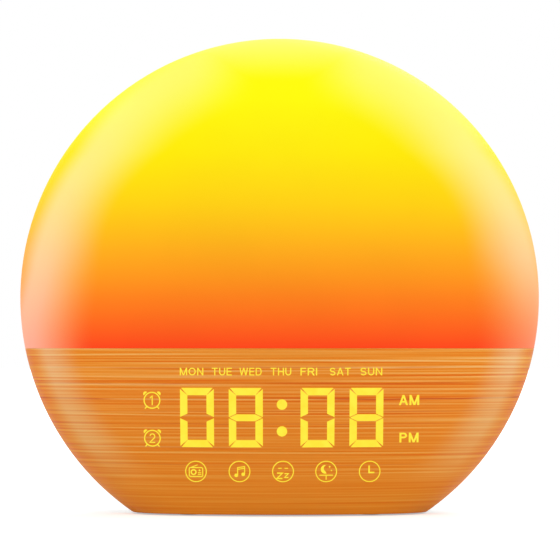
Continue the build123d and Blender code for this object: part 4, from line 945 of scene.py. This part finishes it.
dust_cloth, tree, shader, where = new_finish("dust_cloth")
crossed = []
for way, stretch in (("X", (1.0, 0.0, 0.0)), ("Z", (0.0, 0.0, 1.0))):
    turned = place(tree, "Mapping", Scale=stretch)
    tree.links.new(where, turned.inputs[0])
    threads = place(tree, "TexWave", wave_type="BANDS", bands_direction=way, Scale=700.0,
                    Distortion=0.4, Detail=1.0)
    tree.links.new(turned.outputs[0], threads.inputs["Vector"])
    crossed.append(threads.outputs["Fac"])
weave = sums(tree, "MAXIMUM", *crossed)
skin(tree, shader, ramp(tree, weave, [(0.2, shade(14, 14, 15)), (0.9, shade(52, 52, 54))]),
     between(tree, weave, 0.0, 1.0, 0.95, 0.8))
raised(tree, shader, weave, 0.5, 0.0001)
dress(dust_cloth, "speaker_mesh")

# ------------------------------------------------------------------------------------ feet
# Four soft grey pads, moulded from silicone and pressed into pockets in the underside. The clock
# stands on them alone.
dress(moulded("pad_grey", shade(186, 185, 182), 0.7, grains=1600.0), "rubber_feet")

# ------------------------------------------------------------------------------------ studio
# White paper floor that fades into a white surround, and soft lights: a broad box high in front, a
# slim tall one at each side, and one high behind that lights the back.
floor_half_width = 6
floor_front = -4
floor_back = 8
shadow_reach = 0.15
clear_beyond = 1.2
least_clear = 0.46
air_strength = 0.50

floor_white, tree, shader, where = new_finish("floor_white")
paper = blend_colours(tree, between(tree, grained(tree, where, (6, 6, 6)), 0.3, 0.7),
                      grey(0.80), grey(0.82))
tree.links.new(paper, shader.inputs["Base Color"])
shader.inputs["Roughness"].default_value = 0.9
shader.inputs["Specular IOR Level"].default_value = 0.0
shader.inputs["Emission Color"].default_value = grey(1.0)
# the camera sees the floor fade to plain white, with the object's shadow left at its foot
seen = place(tree, "LightPath")
away = place(tree, "VectorMath", operation="LENGTH")
tree.links.new(where, away.inputs[0])
clear = between(tree, away.outputs["Value"], shadow_reach, clear_beyond, least_clear, 1.0)
tree.links.new(sums(tree, "MULTIPLY", seen.outputs["Is Camera Ray"], clear),
               shader.inputs["Emission Strength"])

floor_mesh = bpy.data.meshes.new("studio_floor")
floor_mesh.from_pydata([
    (-floor_half_width, floor_front, 0), (floor_half_width, floor_front, 0),
    (floor_half_width, floor_back, 0), (-floor_half_width, floor_back, 0),
], [], [(0, 1, 2, 3)])
studio_floor = bpy.data.objects.new("studio_floor", floor_mesh)
floor_mesh.materials.append(floor_white)
scene.collection.objects.link(studio_floor)

studio_air = bpy.data.worlds.new("studio_air")
studio_air.use_nodes = True
tree = studio_air.node_tree
seen = place(tree, "LightPath")
plain = sums(tree, "MAXIMUM", seen.outputs["Is Camera Ray"], seen.outputs["Is Glossy Ray"])
plain = sums(tree, "MAXIMUM", plain, seen.outputs["Is Transmission Ray"])
tree.nodes["Background"].inputs["Color"].default_value = grey(1.0)
tree.links.new(between(tree, plain, 0.0, 1.0, air_strength, 1.0, "LINEAR"),
               tree.nodes["Background"].inputs["Strength"])
scene.world = studio_air


def soft_box(name, watts, width, height, at, aim):
    """One rectangular soft light aimed at a point."""
    box_data = bpy.data.lights.new(name, "AREA")
    box_data.shape = "RECTANGLE"
    box_data.size = width
    box_data.size_y = height
    box_data.energy = watts
    lamp = bpy.data.objects.new(name, box_data)
    lamp.location = at
    lamp.rotation_euler = (Vector(aim) - Vector(at)).to_track_quat("-Z", "Y").to_euler()
    scene.collection.objects.link(lamp)


soft_box("front_box", watts=14.0, width=1.4, height=1.0, at=(0.0, -1.5, 1.5), aim=(0.0, 0.0, 0.08))
for name, x in (("left_box", -0.95), ("right_box", 0.95)):
    soft_box(name, watts=2.8, width=0.30, height=0.9, at=(x, -0.05, 0.35), aim=(0.0, 0.0, 0.09))
soft_box("back_box", watts=9.0, width=1.0, height=1.0, at=(0.7, 1.5, 1.3), aim=(0.0, 0.04, 0.08))
